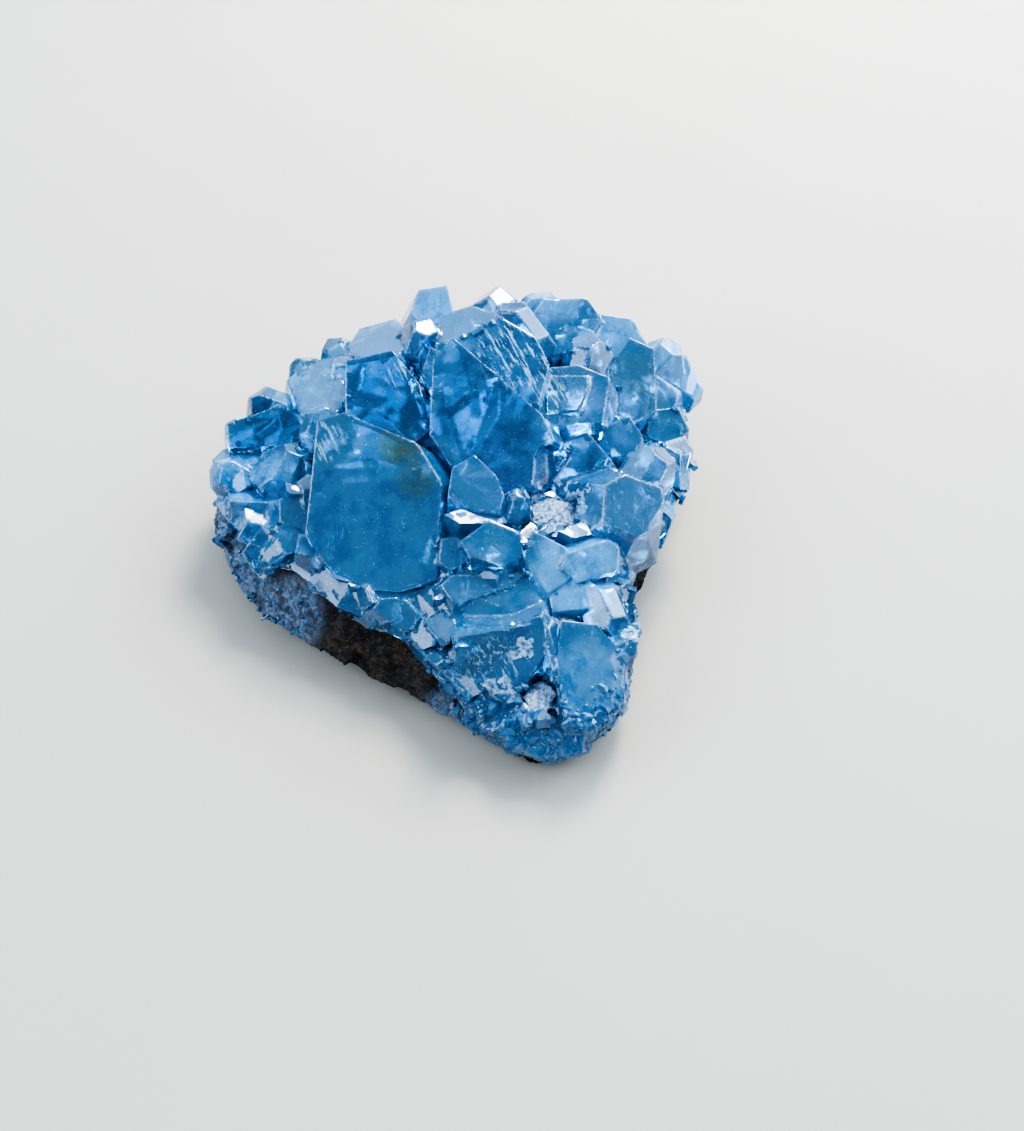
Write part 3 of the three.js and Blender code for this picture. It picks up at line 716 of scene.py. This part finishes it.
@dataclass
class CrystalMass:
    """The fused celestine: the CAD solid with worn edges, swells and broken, stained and cloudy parts."""

    edge_wear_mm: float = 0.2
    least_edge_mm: float = 0.52
    worn_angle_deg: float = 16.0
    fold_angle_deg: float = 14.0
    sharp_angle_deg: float = 24.0
    flat_angle_deg: float = 1.0
    mesh_mm: float = 1.1
    mesh_rounds: int = 5
    swell_mm: float = 0.05
    swell_width_mm: float = 4.0
    shrink_mm: float = 0.04
    seam_mm: float = 1.3
    gap_mm: float = 9.0
    lift_mm: float = 0.08
    # Elevation and azimuth of the parts of the sky that decide how open a place is.
    sky: tuple[tuple[float, float], ...] = ((75, 60), (38, 0), (38, 72), (38, 144), (38, 216), (38, 288))
    # Thick crystals and crystals in shade, whose blue is deeper: partly their own colour, partly painted
    # shade.
    deep: tuple[Place, ...] = (
        Place(10.0, 18.5, 31.0, 8.0, 1.4),
        Place(-14.5, -7.5, 22.5, 13.0, 0.4),
        Place(4.7, 8.0, 28.6, 9.5, 1.6),
        Place(8.0, 1.7, 25.3, 6.5, 1.4),
        Place(-12.9, 14.1, 25.5, 9.0, 2.2),
        Place(-36.0, 11.5, 19.5, 9.0, 2.3),
        Place(20.5, -0.4, 21.5, 5.0),
        Place(5.5, -16.0, 19.0, 7.0, 0.4),
        Place(13.0, -3.4, 20.0, 5.0),
        Place(14.5, -43.5, 7.0, 9.0, 1.8),
        Place(-40.0, -4.0, 15.0, 11.0, 1.4),
        Place(35.0, -2.0, 15.0, 8.0, 0.7),
    )
    # Thin or milky crystals and brightly lit ones, whose blue is paler: partly their own colour, partly
    # painted light.
    pale: tuple[Place, ...] = (
        Place(-16.4, 30.9, 25.0, 8.0),
        Place(-27.5, 18.8, 22.0, 8.0),
        Place(29.0, -10.0, 22.6, 7.5, 1.5),
        Place(20.4, 13.7, 26.4, 6.0),
        Place(32.0, 18.8, 24.4, 7.0, 1.3),
        Place(1.6, 32.9, 28.0, 8.0, 0.5),
        Place(-36.0, -4.0, 17.0, 8.0, 0.3),
        Place(3.5, -6.1, 24.0, 4.0),
        Place(4.0, -21.7, 16.6, 5.0, 1.5),
        Place(6.7, -36.0, 12.4, 5.0, 0.5),
    )
    # Faces with white feathers just under them.
    feathered: tuple[Place, ...] = (
        Place(10.5, 18.5, 31.0, 8.5),
        Place(-10.0, 18.0, 27.0, 4.0),
        Place(16.0, 12.0, 27.0, 4.0),
        Place(-23.0, 1.5, 26.0, 4.0),
        Place(6.0, -35.0, 13.0, 5.0),
    )
    # Where a crust of the pale rock sticks.
    chalky: tuple[Place, ...] = (
        Place(7.5, -38.5, 10.8, 2.6),
        Place(14.5, -41.0, 11.5, 4.2),
        Place(17.0, -7.0, 21.0, 5.5),
        Place(11.5, -33.5, 14.8, 2.4),
        Place(0.8, -33.0, 13.0, 2.4),
        Place(28.5, -31.0, 13.5, 2.4),
        Place(27.0, -24.0, 10.0, 3.0, 0.6),
    )
    # Rims and crystals that are broken rather than grown.
    broken: tuple[Place, ...] = (
        Place(-27.5, 20.8, 22.0, 8.0, 0.3),
        Place(43.0, 26.5, 19.6, 8.0),
        Place(-38.0, 0.0, 14.0, 10.0),
        Place(20.0, -20.0, 17.0, 8.0),
        Place(21.5, -37.0, 12.0, 7.0, 0.4),
        Place(14.4, -45.0, 7.6, 8.0),
        Place(1.6, 32.9, 28.0, 8.0, 0.3),
        Place(33.0, 34.0, 22.0, 9.0, 0.6),
        Place(36.0, 0.0, 14.0, 6.0),
        Place(-8.0, 40.0, 26.0, 7.0),
        Place(18.0, 41.0, 24.0, 7.0),
    )
    # The cleft at the foot of the centre crystal, painted dark as shade.
    clefts: tuple[Place, ...] = (
        Place(15.8, -2.5, 21.0, 1.9),
        Place(14.8, -5.5, 20.5, 1.7),
        Place(13.2, -8.6, 20.0, 1.6),
        Place(11.8, -11.0, 19.5, 1.4),
    )
    # Olive iron stains in the large left crystal and the yellowish one.
    stained: tuple[Place, ...] = (
        Place(-9.5, 0.5, 27.0, 4.2),
        Place(-7.2, -5.5, 24.5, 3.4, 0.7),
        Place(32.0, 20.0, 25.0, 4.5, 0.25),
    )

    def relief(self, point: Vector) -> float:
        """The surface's rise at a point.

        Args:
            point: a point of the part, in metres.

        Returns:
            The rise along the normal, in metres.
        """
        return (self.swell_mm * noise.noise(point / (self.swell_width_mm * MM)) - self.shrink_mm) * MM

    def wear_edges(self, mesh: bmesh.types.BMesh) -> None:
        """Blunts the long free edges of the crystals.

        Args:
            mesh: the crystals with whole faces.
        """
        least = self.least_edge_mm * MM
        mesh.normal_update()
        roomy = {v for v in mesh.verts if all(e.calc_length() > least for e in v.link_edges)}
        edges = [e for e in mesh.edges if e.is_manifold and e.is_convex and set(e.verts) <= roomy
                 and e.calc_face_angle(0) > math.radians(self.worn_angle_deg)]
        bmesh.ops.bevel(mesh, geom=edges, offset=self.edge_wear_mm * MM, offset_type="OFFSET", segments=2,
                        profile=0.5, affect="EDGES", clamp_overlap=False, material=-1)

    def nearness(self, mesh: bmesh.types.BMesh, convex: bool, reach_mm: float) -> list[float]:
        """How near each vertex is to a fold of the surface.

        Args:
            mesh: the finished mesh.
            convex: True for outer edges, False for the seams between crystals.
            reach_mm: how far a fold is felt.

        Returns:
            1 on a fold, falling to 0 at the reach, for each vertex.
        """
        folds = [e for e in mesh.edges if e.is_manifold and e.is_convex == convex
                 and e.calc_face_angle(0) > math.radians(self.fold_angle_deg)]
        tree = KDTree(len(folds) * 2)
        for number, vertex in enumerate(v for e in folds for v in e.verts):
            tree.insert(vertex.co, number)
        tree.balance()
        return [max(0.0, 1 - tree.find(v.co)[2] / (reach_mm * MM)) for v in mesh.verts]

    def openness(self, mesh: bmesh.types.BMesh) -> list[float]:
        """How much of the sky each vertex sees, which sets where the crystals get painted shade.

        Args:
            mesh: the finished mesh.

        Returns:
            1 on an open face, falling to 0 deep between the crystals, for each vertex.
        """
        surface = BVHTree.FromBMesh(mesh)
        sky = [tilted(elevation, azimuth) for elevation, azimuth in self.sky]
        reach = self.gap_mm * MM
        shares = []
        for vertex in mesh.verts:
            start = vertex.co + vertex.normal * self.lift_mm * MM
            clear = sum(surface.ray_cast(start, way, reach)[0] is None for way in sky)
            shares.append(clear / len(sky))
        return shares

    def build(self, material: bpy.types.Material) -> bpy.types.Object:
        """Builds the crystals.

        Args:
            material: their finish.

        Returns:
            The finished piece.
        """
        mesh = merged_copy("celestine_crystals")
        bmesh.ops.dissolve_limit(mesh, angle_limit=math.radians(self.flat_angle_deg), verts=mesh.verts,
                                 edges=mesh.edges)
        self.wear_edges(mesh)
        bmesh.ops.triangulate(mesh, faces=mesh.faces)
        refine(mesh, self.mesh_mm, self.mesh_rounds)
        mesh.normal_update()
        seams = self.nearness(mesh, False, self.seam_mm)
        crests = self.nearness(mesh, True, self.seam_mm / 2)
        for vertex in mesh.verts:
            vertex.co += vertex.normal * self.relief(vertex.co)
        grow_left_rim(mesh)
        keep_inside(mesh)
        # Painted shade: the cleft counts as closed to the sky, so it takes the dark gap shade.
        shares = [share * (1 - strongest(self.clefts, vertex.co))
                  for share, vertex in zip(self.openness(mesh), mesh.verts)]
        piece = new_object("celestine_crystals_grown", mesh, material)
        piece.data.shade_smooth()
        piece.data.set_sharp_from_angle(angle=math.radians(self.sharp_angle_deg))
        points = [v.co for v in piece.data.vertices]
        paint(piece, "open", shares)
        paint(piece, "seam", seams)
        paint(piece, "crest", crests)
        # The tone: partly the crystals' own colour, partly painted shade and light.
        paint(piece, "tone", [strongest(self.pale, p) - strongest(self.deep, p) for p in points])
        for name, places in (("broken", self.broken), ("feathered", self.feathered), ("chalky", self.chalky),
                             ("stained", self.stained)):
            paint(piece, name, [strongest(places, p) for p in points])
        finish_piece(piece, Slot.CRYSTAL, "celestine_crystals")
        return piece


@dataclass(frozen=True)
class Film:
    """One healed crack: its middle, its size and the way it faces, in millimetres and degrees."""

    x: float
    y: float
    z: float
    width: float
    height: float
    azimuth: float
    elevation: float


@dataclass
class HealedCracks:
    """The white wispy films inside the large crystals, joined in one mesh."""

    thickness_mm: float = 0.05
    cover_mm: float = 0.4
    wave_mm: float = 1.4
    wave_width_mm: float = 4.0
    parts: int = 22
    films: tuple[Film, ...] = (
        Film(10.0, 17.0, 27.5, 12.0, 9.0, 285.0, 50.0),
        Film(12.0, 13.5, 26.0, 9.0, 7.0, 310.0, 40.0),
        Film(-15.0, -9.0, 18.0, 13.0, 8.0, 250.0, 20.0),
        Film(-20.0, -12.0, 17.5, 6.0, 8.0, 200.0, 40.0),
        Film(20.0, 12.5, 23.5, 8.0, 7.0, 280.0, 60.0),
        Film(31.0, 17.5, 21.0, 8.0, 7.0, 265.0, 55.0),
        Film(29.0, -9.5, 19.0, 8.0, 7.0, 240.0, 50.0),
        Film(-27.5, 18.0, 18.5, 8.0, 6.0, 255.0, 55.0),
        Film(7.0, -29.0, 12.0, 7.0, 6.0, 100.0, 40.0),
        Film(21.0, -36.0, 9.5, 6.0, 6.0, 300.0, 45.0),
    )

    def build(self, host: bpy.types.Object, material: bpy.types.Material) -> None:
        """Builds the films.

        Args:
            host: the crystals that hold them.
            material: their finish.
        """
        surface = surface_of(host)
        films = bmesh.new()
        for film in self.films:
            first = len(films.verts)
            bmesh.ops.create_grid(films, x_segments=self.parts, y_segments=self.parts, size=0.5)
            films.verts.ensure_lookup_table()
            grown = films.verts[first:]
            turn = Euler((0, math.radians(90 - film.elevation), math.radians(film.azimuth)))
            facing = turn.to_matrix().to_4x4()
            sized = Matrix.Diagonal((film.height * MM, film.width * MM, 1, 1))
            middle = Vector((film.x, film.y, film.z)) * MM
            bmesh.ops.transform(films, matrix=Matrix.Translation(middle) @ facing @ sized, verts=grown)
            normal = facing.to_3x3() @ UP
            for vertex in grown:
                vertex.co += normal * noise.noise(vertex.co / (self.wave_width_mm * MM)) * self.wave_mm * MM
        outside = [v for v in films.verts if not self.is_inside(surface, v.co)]
        bmesh.ops.delete(films, geom=outside, context="VERTS")
        bmesh.ops.solidify(films, geom=films.faces[:], thickness=self.thickness_mm * MM)
        piece = new_object("healed_cracks", films, material)
        finish_piece(piece, Slot.CRYSTAL)

    def is_inside(self, surface: BVHTree, point: Vector) -> bool:
        """Says whether a point lies inside the crystals, clear of their faces."""
        roof = surface.ray_cast(point, UP)[1]
        return roof is not None and roof.z > 0 and surface.find_nearest(point)[3] > self.cover_mm * MM


def surface_of(*pieces: bpy.types.Object) -> BVHTree:
    """Joins the surfaces of some pieces for ray casts.

    Args:
        pieces: the pieces, each with its place in its mesh.

    Returns:
        Their surface.
    """
    source = bmesh.new()
    for piece in pieces:
        source.from_mesh(piece.data)
    surface = BVHTree.FromBMesh(source)
    source.free()
    return surface


def cut_away(mesh: bmesh.types.BMesh, point: Vector, normal: Vector) -> None:
    """Cuts a closed convex mesh with a plane and closes the cut.

    Args:
        mesh: the mesh.
        point: a point of the plane.
        normal: the side that is taken away.
    """
    geometry = mesh.verts[:] + mesh.edges[:] + mesh.faces[:]
    cut = bmesh.ops.bisect_plane(mesh, geom=geometry, plane_co=point, plane_no=normal, clear_outer=True)
    rim = [e for e in cut["geom_cut"] if isinstance(e, bmesh.types.BMEdge)]
    if rim:
        bmesh.ops.contextual_create(mesh, geom=rim)


@dataclass
class SugarDruse:
    """Small crystals strewn over the rims of the cluster and the frosted rock, joined in one mesh."""

    on_rims: int = 700
    in_seams: int = 650
    deep_seam: float = 0.75
    steepest: float = -0.2
    lowest_mm: float = 2.5
    view_mm: float = 120.0
    rim: tuple[float, float] = (0.72, 0.95)
    low_ground_mm: tuple[float, float] = (8.0, 14.0)
    spared_weight: float = 0.3
    # The middle of the specimen, where the seams are clean.
    spared: tuple[Place, ...] = (
        Place(-13.0, -3.0, 24.0, 15.0),
        Place(6.0, 6.0, 28.0, 14.0),
    )
    # The low rims and the frosted rock, where it grows.
    grounds: tuple[Place, ...] = (
        Place(-42.0, -6.0, 9.0, 14.0, 0.5),
        Place(-28.0, -22.0, 9.0, 10.0, 0.3),
        Place(4.0, -42.0, 6.0, 12.0),
        Place(20.0, -42.0, 7.0, 12.0),
        Place(30.0, -26.0, 9.0, 8.0, 0.7),
        Place(40.0, 4.0, 10.0, 10.0, 0.3),
    )
    smallest_mm: float = 0.4
    largest_mm: float = 1.3
    larger_share: float = 0.1
    larger_times: float = 2.3
    sunk: float = 0.55
    upright: float = 0.3
    slant: float = 0.4
    # Elevation, azimuth and distance of each dome face.
    domes: tuple[tuple[float, float, float], ...] = (
        (38, 90, 0.86), (38, 270, 0.9), (50.6, 0, 1.0), (50.6, 180, 0.94))
    seed: int = 11

    def seedling(self) -> bmesh.types.BMesh:
        """Makes one blunt crystal two units wide: a cube cut by dome faces of celestine.

        Returns:
            Its mesh.
        """
        mesh = bmesh.new()
        bmesh.ops.create_cube(mesh, size=2.0)
        for elevation, azimuth, distance in self.domes:
            normal = tilted(elevation, azimuth)
            cut_away(mesh, normal * distance, normal)
        return mesh

    def seam_vertices(self, crystals: bpy.types.Object) -> list[bpy.types.MeshVertex]:
        """Picks vertices in the seams between the crystals, off the specimen's middle.

        Args:
            crystals: the fused crystals.

        Returns:
            The vertices, in an order that doesn't depend on how the mesh is stored.
        """
        seams = crystals.data.attributes["seam"].data
        deep = [v for v in crystals.data.vertices
                if seams[v.index].value > self.deep_seam and v.normal.z > self.steepest]
        outer = [v for v in deep if strongest(self.spared, v.co) < self.spared_weight]
        outer.sort(key=lambda v: [round(part, 5) for part in (*v.co, *v.normal)])
        return random.Random(self.seed).sample(outer, self.in_seams)

    def spots(self, hosts: tuple[bpy.types.Object, ...]) -> list[tuple[Vector, Vector]]:
        """Finds places for the small crystals: in the seams, and on the rim by looking in from all sides.

        Args:
            hosts: the crystals and the rock.

        Returns:
            A point and its normal for each place.
        """
        chance = random.Random(self.seed).uniform
        surface = surface_of(*hosts)
        low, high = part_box("celestine_crystals")
        half = (high - low) / 2
        found = [(v.co.copy(), v.normal.copy()) for v in self.seam_vertices(hosts[0])]
        wanted = len(found) + self.on_rims
        while len(found) < wanted:
            aim = Vector((chance(low.x, high.x), chance(low.y, high.y), chance(0, 0.7 * high.z)))
            outward = tilted(chance(0, 85), chance(0, 360))
            point, normal, _, _ = surface.ray_cast(aim + outward * self.view_mm * MM, -outward)
            if point is None or point.z < self.lowest_mm * MM:
                continue
            rim = smooth_step(Vector((point.x / half.x, point.y / half.y)).length, *self.rim)
            low_ground = 1 - smooth_step(point.z, *(height * MM for height in self.low_ground_mm))
            if chance(0, 1) < rim * low_ground * strongest(self.grounds, point):
                found.append((point, normal))
        return found

    def build(self, hosts: tuple[bpy.types.Object, ...], material: bpy.types.Material) -> None:
        """Builds the druse.

        Args:
            hosts: the pieces that it grows on.
            material: its finish.
        """
        chance = random.Random(self.seed + 1).uniform
        seedling = self.seedling()
        pattern = bpy.data.meshes.new("druse_pattern")
        seedling.to_mesh(pattern)
        seedling.free()
        druse = bmesh.new()
        for point, normal in self.spots(hosts):
            grown = self.larger_times if chance(0, 1) < self.larger_share else 1.0
            size = chance(self.smallest_mm, self.largest_mm) * grown * MM / 2
            lean = normal.lerp(UP, self.upright).to_track_quat("Z", "Y").to_matrix().to_4x4()
            slants = chance(-self.slant, self.slant), chance(-self.slant, self.slant)
            turned = Euler((*slants, chance(0, 6.28))).to_matrix().to_4x4()
            stretched = Matrix.Diagonal((chance(0.8, 1.5), chance(0.6, 0.9), chance(0.8, 1.1), 1))
            crystal = pattern.copy()
            crystal.transform(Matrix.Translation(point - normal * size * self.sunk) @ lean @ turned
                              @ Matrix.Scale(size, 4) @ stretched)
            druse.from_mesh(crystal)
            bpy.data.meshes.remove(crystal)
        bpy.data.meshes.remove(pattern)
        bmesh.ops.recalc_face_normals(druse, faces=druse.faces)
        keep_inside(druse)
        finish_piece(new_object("celestine_druse", druse, material), Slot.CRYSTAL)


@dataclass(frozen=True)
class Glint:
    """A small crystal whose top facet mirrors the window: the facet's middle, size and turn."""

    x: float
    y: float
    z: float
    width: float
    depth: float
    turn: float


@dataclass
class GlintingCrystals:
    """The few small crystals that flash white in the light, joined in one mesh."""

    facet_elevation_deg: float = 78.9
    facet_azimuth_deg: float = 359.0
    root_mm: float = 5.0
    first_corner_deg: float = 50.0
    corner_spread_deg: float = 14.0
    near_corners: tuple[float, float] = (0.42, 0.52)
    far_corners: tuple[float, float] = (0.2, 0.3)
    seed: int = 5
    crystals: tuple[Glint, ...] = (
        Glint(3.4, -11.4, 21.5, 10.5, 5.0, -10.0),
        Glint(20.6, -13.2, 20.1, 9.0, 3.6, -4.0),
        Glint(16.8, -12.8, 18.8, 1.8, 1.6, 30.0),
        Glint(-28.6, -3.4, 19.6, 4.4, 2.6, -40.0),
        Glint(-2.4, -23.6, 15.6, 2.4, 1.3, 20.0),
        Glint(-6.8, -1.8, 22.6, 1.8, 1.0, 15.0),
        Glint(-17.0, -21.0, 15.0, 2.2, 1.0, -30.0),
    )

    def build(self, material: bpy.types.Material) -> None:
        """Builds the glinting crystals.

        Args:
            material: their finish.
        """
        chance = random.Random(self.seed).uniform
        mirror = tilted(self.facet_elevation_deg, self.facet_azimuth_deg)
        facing = UP.rotation_difference(mirror).to_matrix().to_4x4()
        lowered = Matrix.Translation((0, 0, -self.root_mm / 2 * MM))
        joined = bmesh.new()
        for glint in self.crystals:
            mesh = bmesh.new()
            bmesh.ops.create_cube(mesh, size=1.0)
            for corner in range(4):
                turn = self.first_corner_deg + 90 * corner
                side = tilted(0, turn + chance(-self.corner_spread_deg, self.corner_spread_deg))
                distances = self.far_corners if corner % 2 else self.near_corners
                cut_away(mesh, side * chance(*distances), side)
            sized = Matrix.Diagonal((glint.width * MM, glint.depth * MM, self.root_mm * MM, 1))
            turned = Matrix.Rotation(math.radians(glint.turn), 4, "Z")
            middle = Matrix.Translation(Vector((glint.x, glint.y, glint.z)) * MM)
            bmesh.ops.transform(mesh, matrix=middle @ facing @ turned @ lowered @ sized, verts=mesh.verts)
            pattern = bpy.data.meshes.new("glint_pattern")
            mesh.to_mesh(pattern)
            mesh.free()
            joined.from_mesh(pattern)
            bpy.data.meshes.remove(pattern)
        bmesh.ops.recalc_face_normals(joined, faces=joined.faces)
        finish_piece(new_object("glinting_crystals", joined, material), Slot.CRYSTAL)


@dataclass
class RockSlab:
    """The host rock: the CAD slab, remeshed finely and broken into ledges and pits."""

    voxel_mm: float = 0.62
    ledge_mm: float = 1.3
    layer_mm: float = 4.0
    layer_flatness: float = 2.2
    lump_mm: float = 1.3
    lump_share: float = 0.55
    block_mm: float = 2.6
    block_share: float = 0.5
    rough_share: float = 0.5
    broken_share: float = 0.55
    kept_share: float = 0.3
    bed_slope: tuple[float, float] = (0.45, 0.8)
    cover_mm: float = 8.0
    foot_mm: float = 0.4
    blur_rounds: int = 3
    # Where druse frosts the rock.
    frosted: tuple[Place, ...] = (
        Place(-42.0, -8.0, 9.0, 13.0),
        Place(-30.0, -22.0, 8.0, 7.0),
        Place(0.0, -44.0, 4.0, 9.0),
    )

    def build(self, material: bpy.types.Material) -> bpy.types.Object:
        """Builds the rock.

        Args:
            material: its finish.

        Returns:
            The finished piece.
        """
        mesh = merged_copy("host_rock")
        piece = new_object("host_rock_broken", mesh, material)
        remesh = piece.modifiers.new("fine", "REMESH")
        remesh.mode = "VOXEL"
        remesh.voxel_size = self.voxel_mm * MM
        evaluated = piece.evaluated_get(bpy.context.evaluated_depsgraph_get())
        fine = bpy.data.meshes.new_from_object(evaluated)
        piece.modifiers.clear()
        piece.data = fine
        crystals = BVHTree.FromBMesh(merged_copy("celestine_crystals"))
        weathered = bmesh.new()
        weathered.from_mesh(fine)
        weathered.normal_update()
        bed = []
        for vertex in weathered.verts:
            upward = smooth_step(vertex.normal.z, *self.bed_slope)
            covered = crystals.ray_cast(vertex.co, UP, self.cover_mm * MM)[0] is not None
            bed.append(upward if covered else 0.0)
            if vertex.co.z >= self.foot_mm * MM:
                vertex.co -= vertex.normal * self.ledge(vertex.co) * (1 - upward) * self.ledge_mm * MM
        bed = self.blurred(weathered, bed)
        grow_left_rim(weathered)
        keep_inside(weathered)
        weathered.to_mesh(fine)
        weathered.free()
        points = [v.co for v in fine.vertices]
        paint(piece, "bed", bed)
        paint(piece, "frost", [strongest(self.frosted, p) for p in points])
        finish_piece(piece, Slot.ROCK, "host_rock")
        return piece

    def ledge(self, point: Vector) -> float:
        """How deep the rock broke away at a point, as a share of a ledge.

        Args:
            point: a point of the rock, in metres.

        Returns:
            The depth, 0 or more.
        """
        strata = point * (1 / (self.layer_mm * MM))
        strata.z *= self.layer_flatness
        rough = noise.noise(strata) + self.lump_share * noise.noise(point / (self.lump_mm * MM))
        step = noise.cell(point / (self.block_mm * MM)) * self.block_share
        return max(0.0, self.broken_share + self.rough_share * rough + step - self.kept_share)

    def blurred(self, mesh: bmesh.types.BMesh, values: list[float]) -> list[float]:
        """Evens out a value over the surface.

        Args:
            mesh: the mesh.
            values: a number for each vertex.

        Returns:
            The evened numbers.
        """
        mesh.verts.ensure_lookup_table()
        for _ in range(self.blur_rounds):
            values = [sum(values[e.other_vert(v).index] for e in v.link_edges) / len(v.link_edges)
                      for v in mesh.verts]
        return values


@dataclass
class PaleCrumbs:
    """The chalky crumbs caught between the crystals, with their grains."""

    grain_mm: float = 0.8
    fine_grain_mm: float = 0.4
    fine_grain_share: float = 0.6
    grain_height_mm: float = 0.3
    shrink_mm: float = 0.35
    mesh_mm: float = 0.4
    mesh_rounds: int = 6
    flatness: float = 0.5
    nodes: tuple[str, ...] = ("pale_crumb_by_the_cleft", "pale_crumb_on_the_lobe", "pale_knob_on_the_shelf")

    def build(self, material: bpy.types.Material) -> None:
        """Builds the crumbs.

        Args:
            material: their finish.
        """
        for node in self.nodes:
            mesh = merged_copy(node)
            refine(mesh, self.mesh_mm, self.mesh_rounds)
            bmesh.ops.smooth_vert(mesh, verts=mesh.verts, factor=0.5, use_axis_x=True, use_axis_y=True,
                                  use_axis_z=True)
            mesh.normal_update()
            low = min(v.co.z for v in mesh.verts)
            for vertex in mesh.verts:
                grains = noise.noise(vertex.co / (self.grain_mm * MM))
                grains += self.fine_grain_share * noise.noise(vertex.co / (self.fine_grain_mm * MM))
                vertex.co += vertex.normal * (self.grain_height_mm * grains - self.shrink_mm) * MM
                vertex.co.z = low + (vertex.co.z - low) * self.flatness
            piece = new_object(node + "_granular", mesh, material)
            finish_piece(piece, Slot.PALE, node)


@dataclass(frozen=True)
class Softbox:
    """A square light with a diffuser: where it stands, how large and strong it is, and its colour."""

    name: str
    direction: tuple[float, float, float]
    distance_m: float
    size_m: float
    watts: float
    colour: str


@dataclass
class Studio:
    """A pale floor, soft window-like light and the camera at the photograph's place."""

    camera_mm: tuple[float, float, float] = (9.4, -117.9, 144.5)
    looks_down_deg: float = 52.0
    focal_px: float = 965.0
    frame_height_px: float = 1131.0
    sensor_mm: float = 36.0
    nearest_mm: float = 5.0
    floor_mm: float = 2400.0
    sky_colour: str = "#cfe4fb"
    sky_strength: float = 0.28
    # Only the glinting facets mirror the window. The panels stand clear of what the large faces mirror.
    softboxes: tuple[Softbox, ...] = (
        Softbox("window", (0.25, 0.65, 0.72), 0.7, 0.2, 2.4, "#fff8ef"),
        Softbox("back_panel", (-0.1, 0.78, 0.62), 0.95, 1.1, 2.8, "#b6d8fb"),
        Softbox("corner_panel", (0.62, 0.6, 0.5), 0.95, 0.8, 6.4, "#cce4fb"),
        Softbox("left_panel", (-0.8, -0.05, 0.6), 0.9, 0.6, 2.7, "#d2e6fb"),
        Softbox("right_panel", (0.85, 0.1, 0.5), 0.9, 0.6, 2.2, "#d2e6fb"),
    )
    exposure: float = 0.84

    def camera(self) -> None:
        """Puts the camera where the photograph was taken from."""
        data = bpy.data.cameras.new("phone_view")
        data.sensor_width = self.sensor_mm
        data.lens = self.focal_px / self.frame_height_px * self.sensor_mm
        data.clip_start = self.nearest_mm * MM
        eye = bpy.data.objects.new("phone_view", data)
        eye.location = Vector(self.camera_mm) * MM
        eye.rotation_euler = (math.radians(90 - self.looks_down_deg), 0, 0)
        bpy.context.scene.collection.objects.link(eye)
        bpy.context.scene.camera = eye

    def light(self, box: Softbox) -> None:
        """Adds a square area light that faces the specimen.

        Args:
            box: the light's place, size, power and colour.
        """
        data = bpy.data.lights.new(box.name, "AREA")
        data.size = box.size_m
        data.energy = box.watts
        data.color = linear(box.colour)[:3]
        lamp = bpy.data.objects.new(box.name, data)
        away = Vector(box.direction).normalized()
        lamp.location = away * box.distance_m
        lamp.rotation_euler = away.to_track_quat("Z", "Y").to_euler()
        bpy.context.scene.collection.objects.link(lamp)

    def sky(self) -> None:
        """Fills the room with a plain soft light."""
        world = bpy.data.worlds.new("soft_room")
        world.use_nodes = True
        world.node_tree.nodes.clear()
        light = add_node(world.node_tree, "Background", Color=self.sky_colour, Strength=self.sky_strength)
        add_node(world.node_tree, "OutputWorld", None, None, Surface=light)
        bpy.context.scene.world = world

    def floor(self, material: bpy.types.Material) -> None:
        """Lays the floor under the specimen.

        Args:
            material: its finish.
        """
        mesh = bmesh.new()
        bmesh.ops.create_grid(mesh, x_segments=4, y_segments=4, size=self.floor_mm * MM / 2)
        board = new_object("studio_floor", mesh, material)

    def build(self) -> None:
        """Sets up the floor, the lights and the camera."""
        self.camera()
        self.floor(PlainFloor().material())
        self.sky()
        for box in self.softboxes:
            self.light(box)
        self.let_light_through()
        view = bpy.context.scene.view_settings
        view.view_transform = "AgX"
        view.look = "AgX - Very High Contrast"
        view.exposure = self.exposure

    def let_light_through(self) -> None:
        """Lets light cross many crystal faces before it is dropped, and leaves out its mirrored patches."""
        cycles = bpy.context.scene.cycles
        cycles.max_bounces = 10
        cycles.transmission_bounces = 9
        cycles.diffuse_bounces = 2
        cycles.glossy_bounces = 3
        cycles.caustics_reflective = False


def main() -> None:
    """Builds every piece in order."""
    logging.basicConfig(level=logging.INFO)
    Studio().build()
    crystals = CrystalMass().build(ClearCelestine().material())
    HealedCracks().build(crystals, HealedCrack().material())
    rock = RockSlab().build(HostRock().material())
    SugarDruse().build((crystals, rock), MilkyDruse().material())
    GlintingCrystals().build(MilkyDruse(ripple=0.13).material())
    PaleCrumbs().build(ChalkyRock().material())


if __name__ == "__main__":
    main()
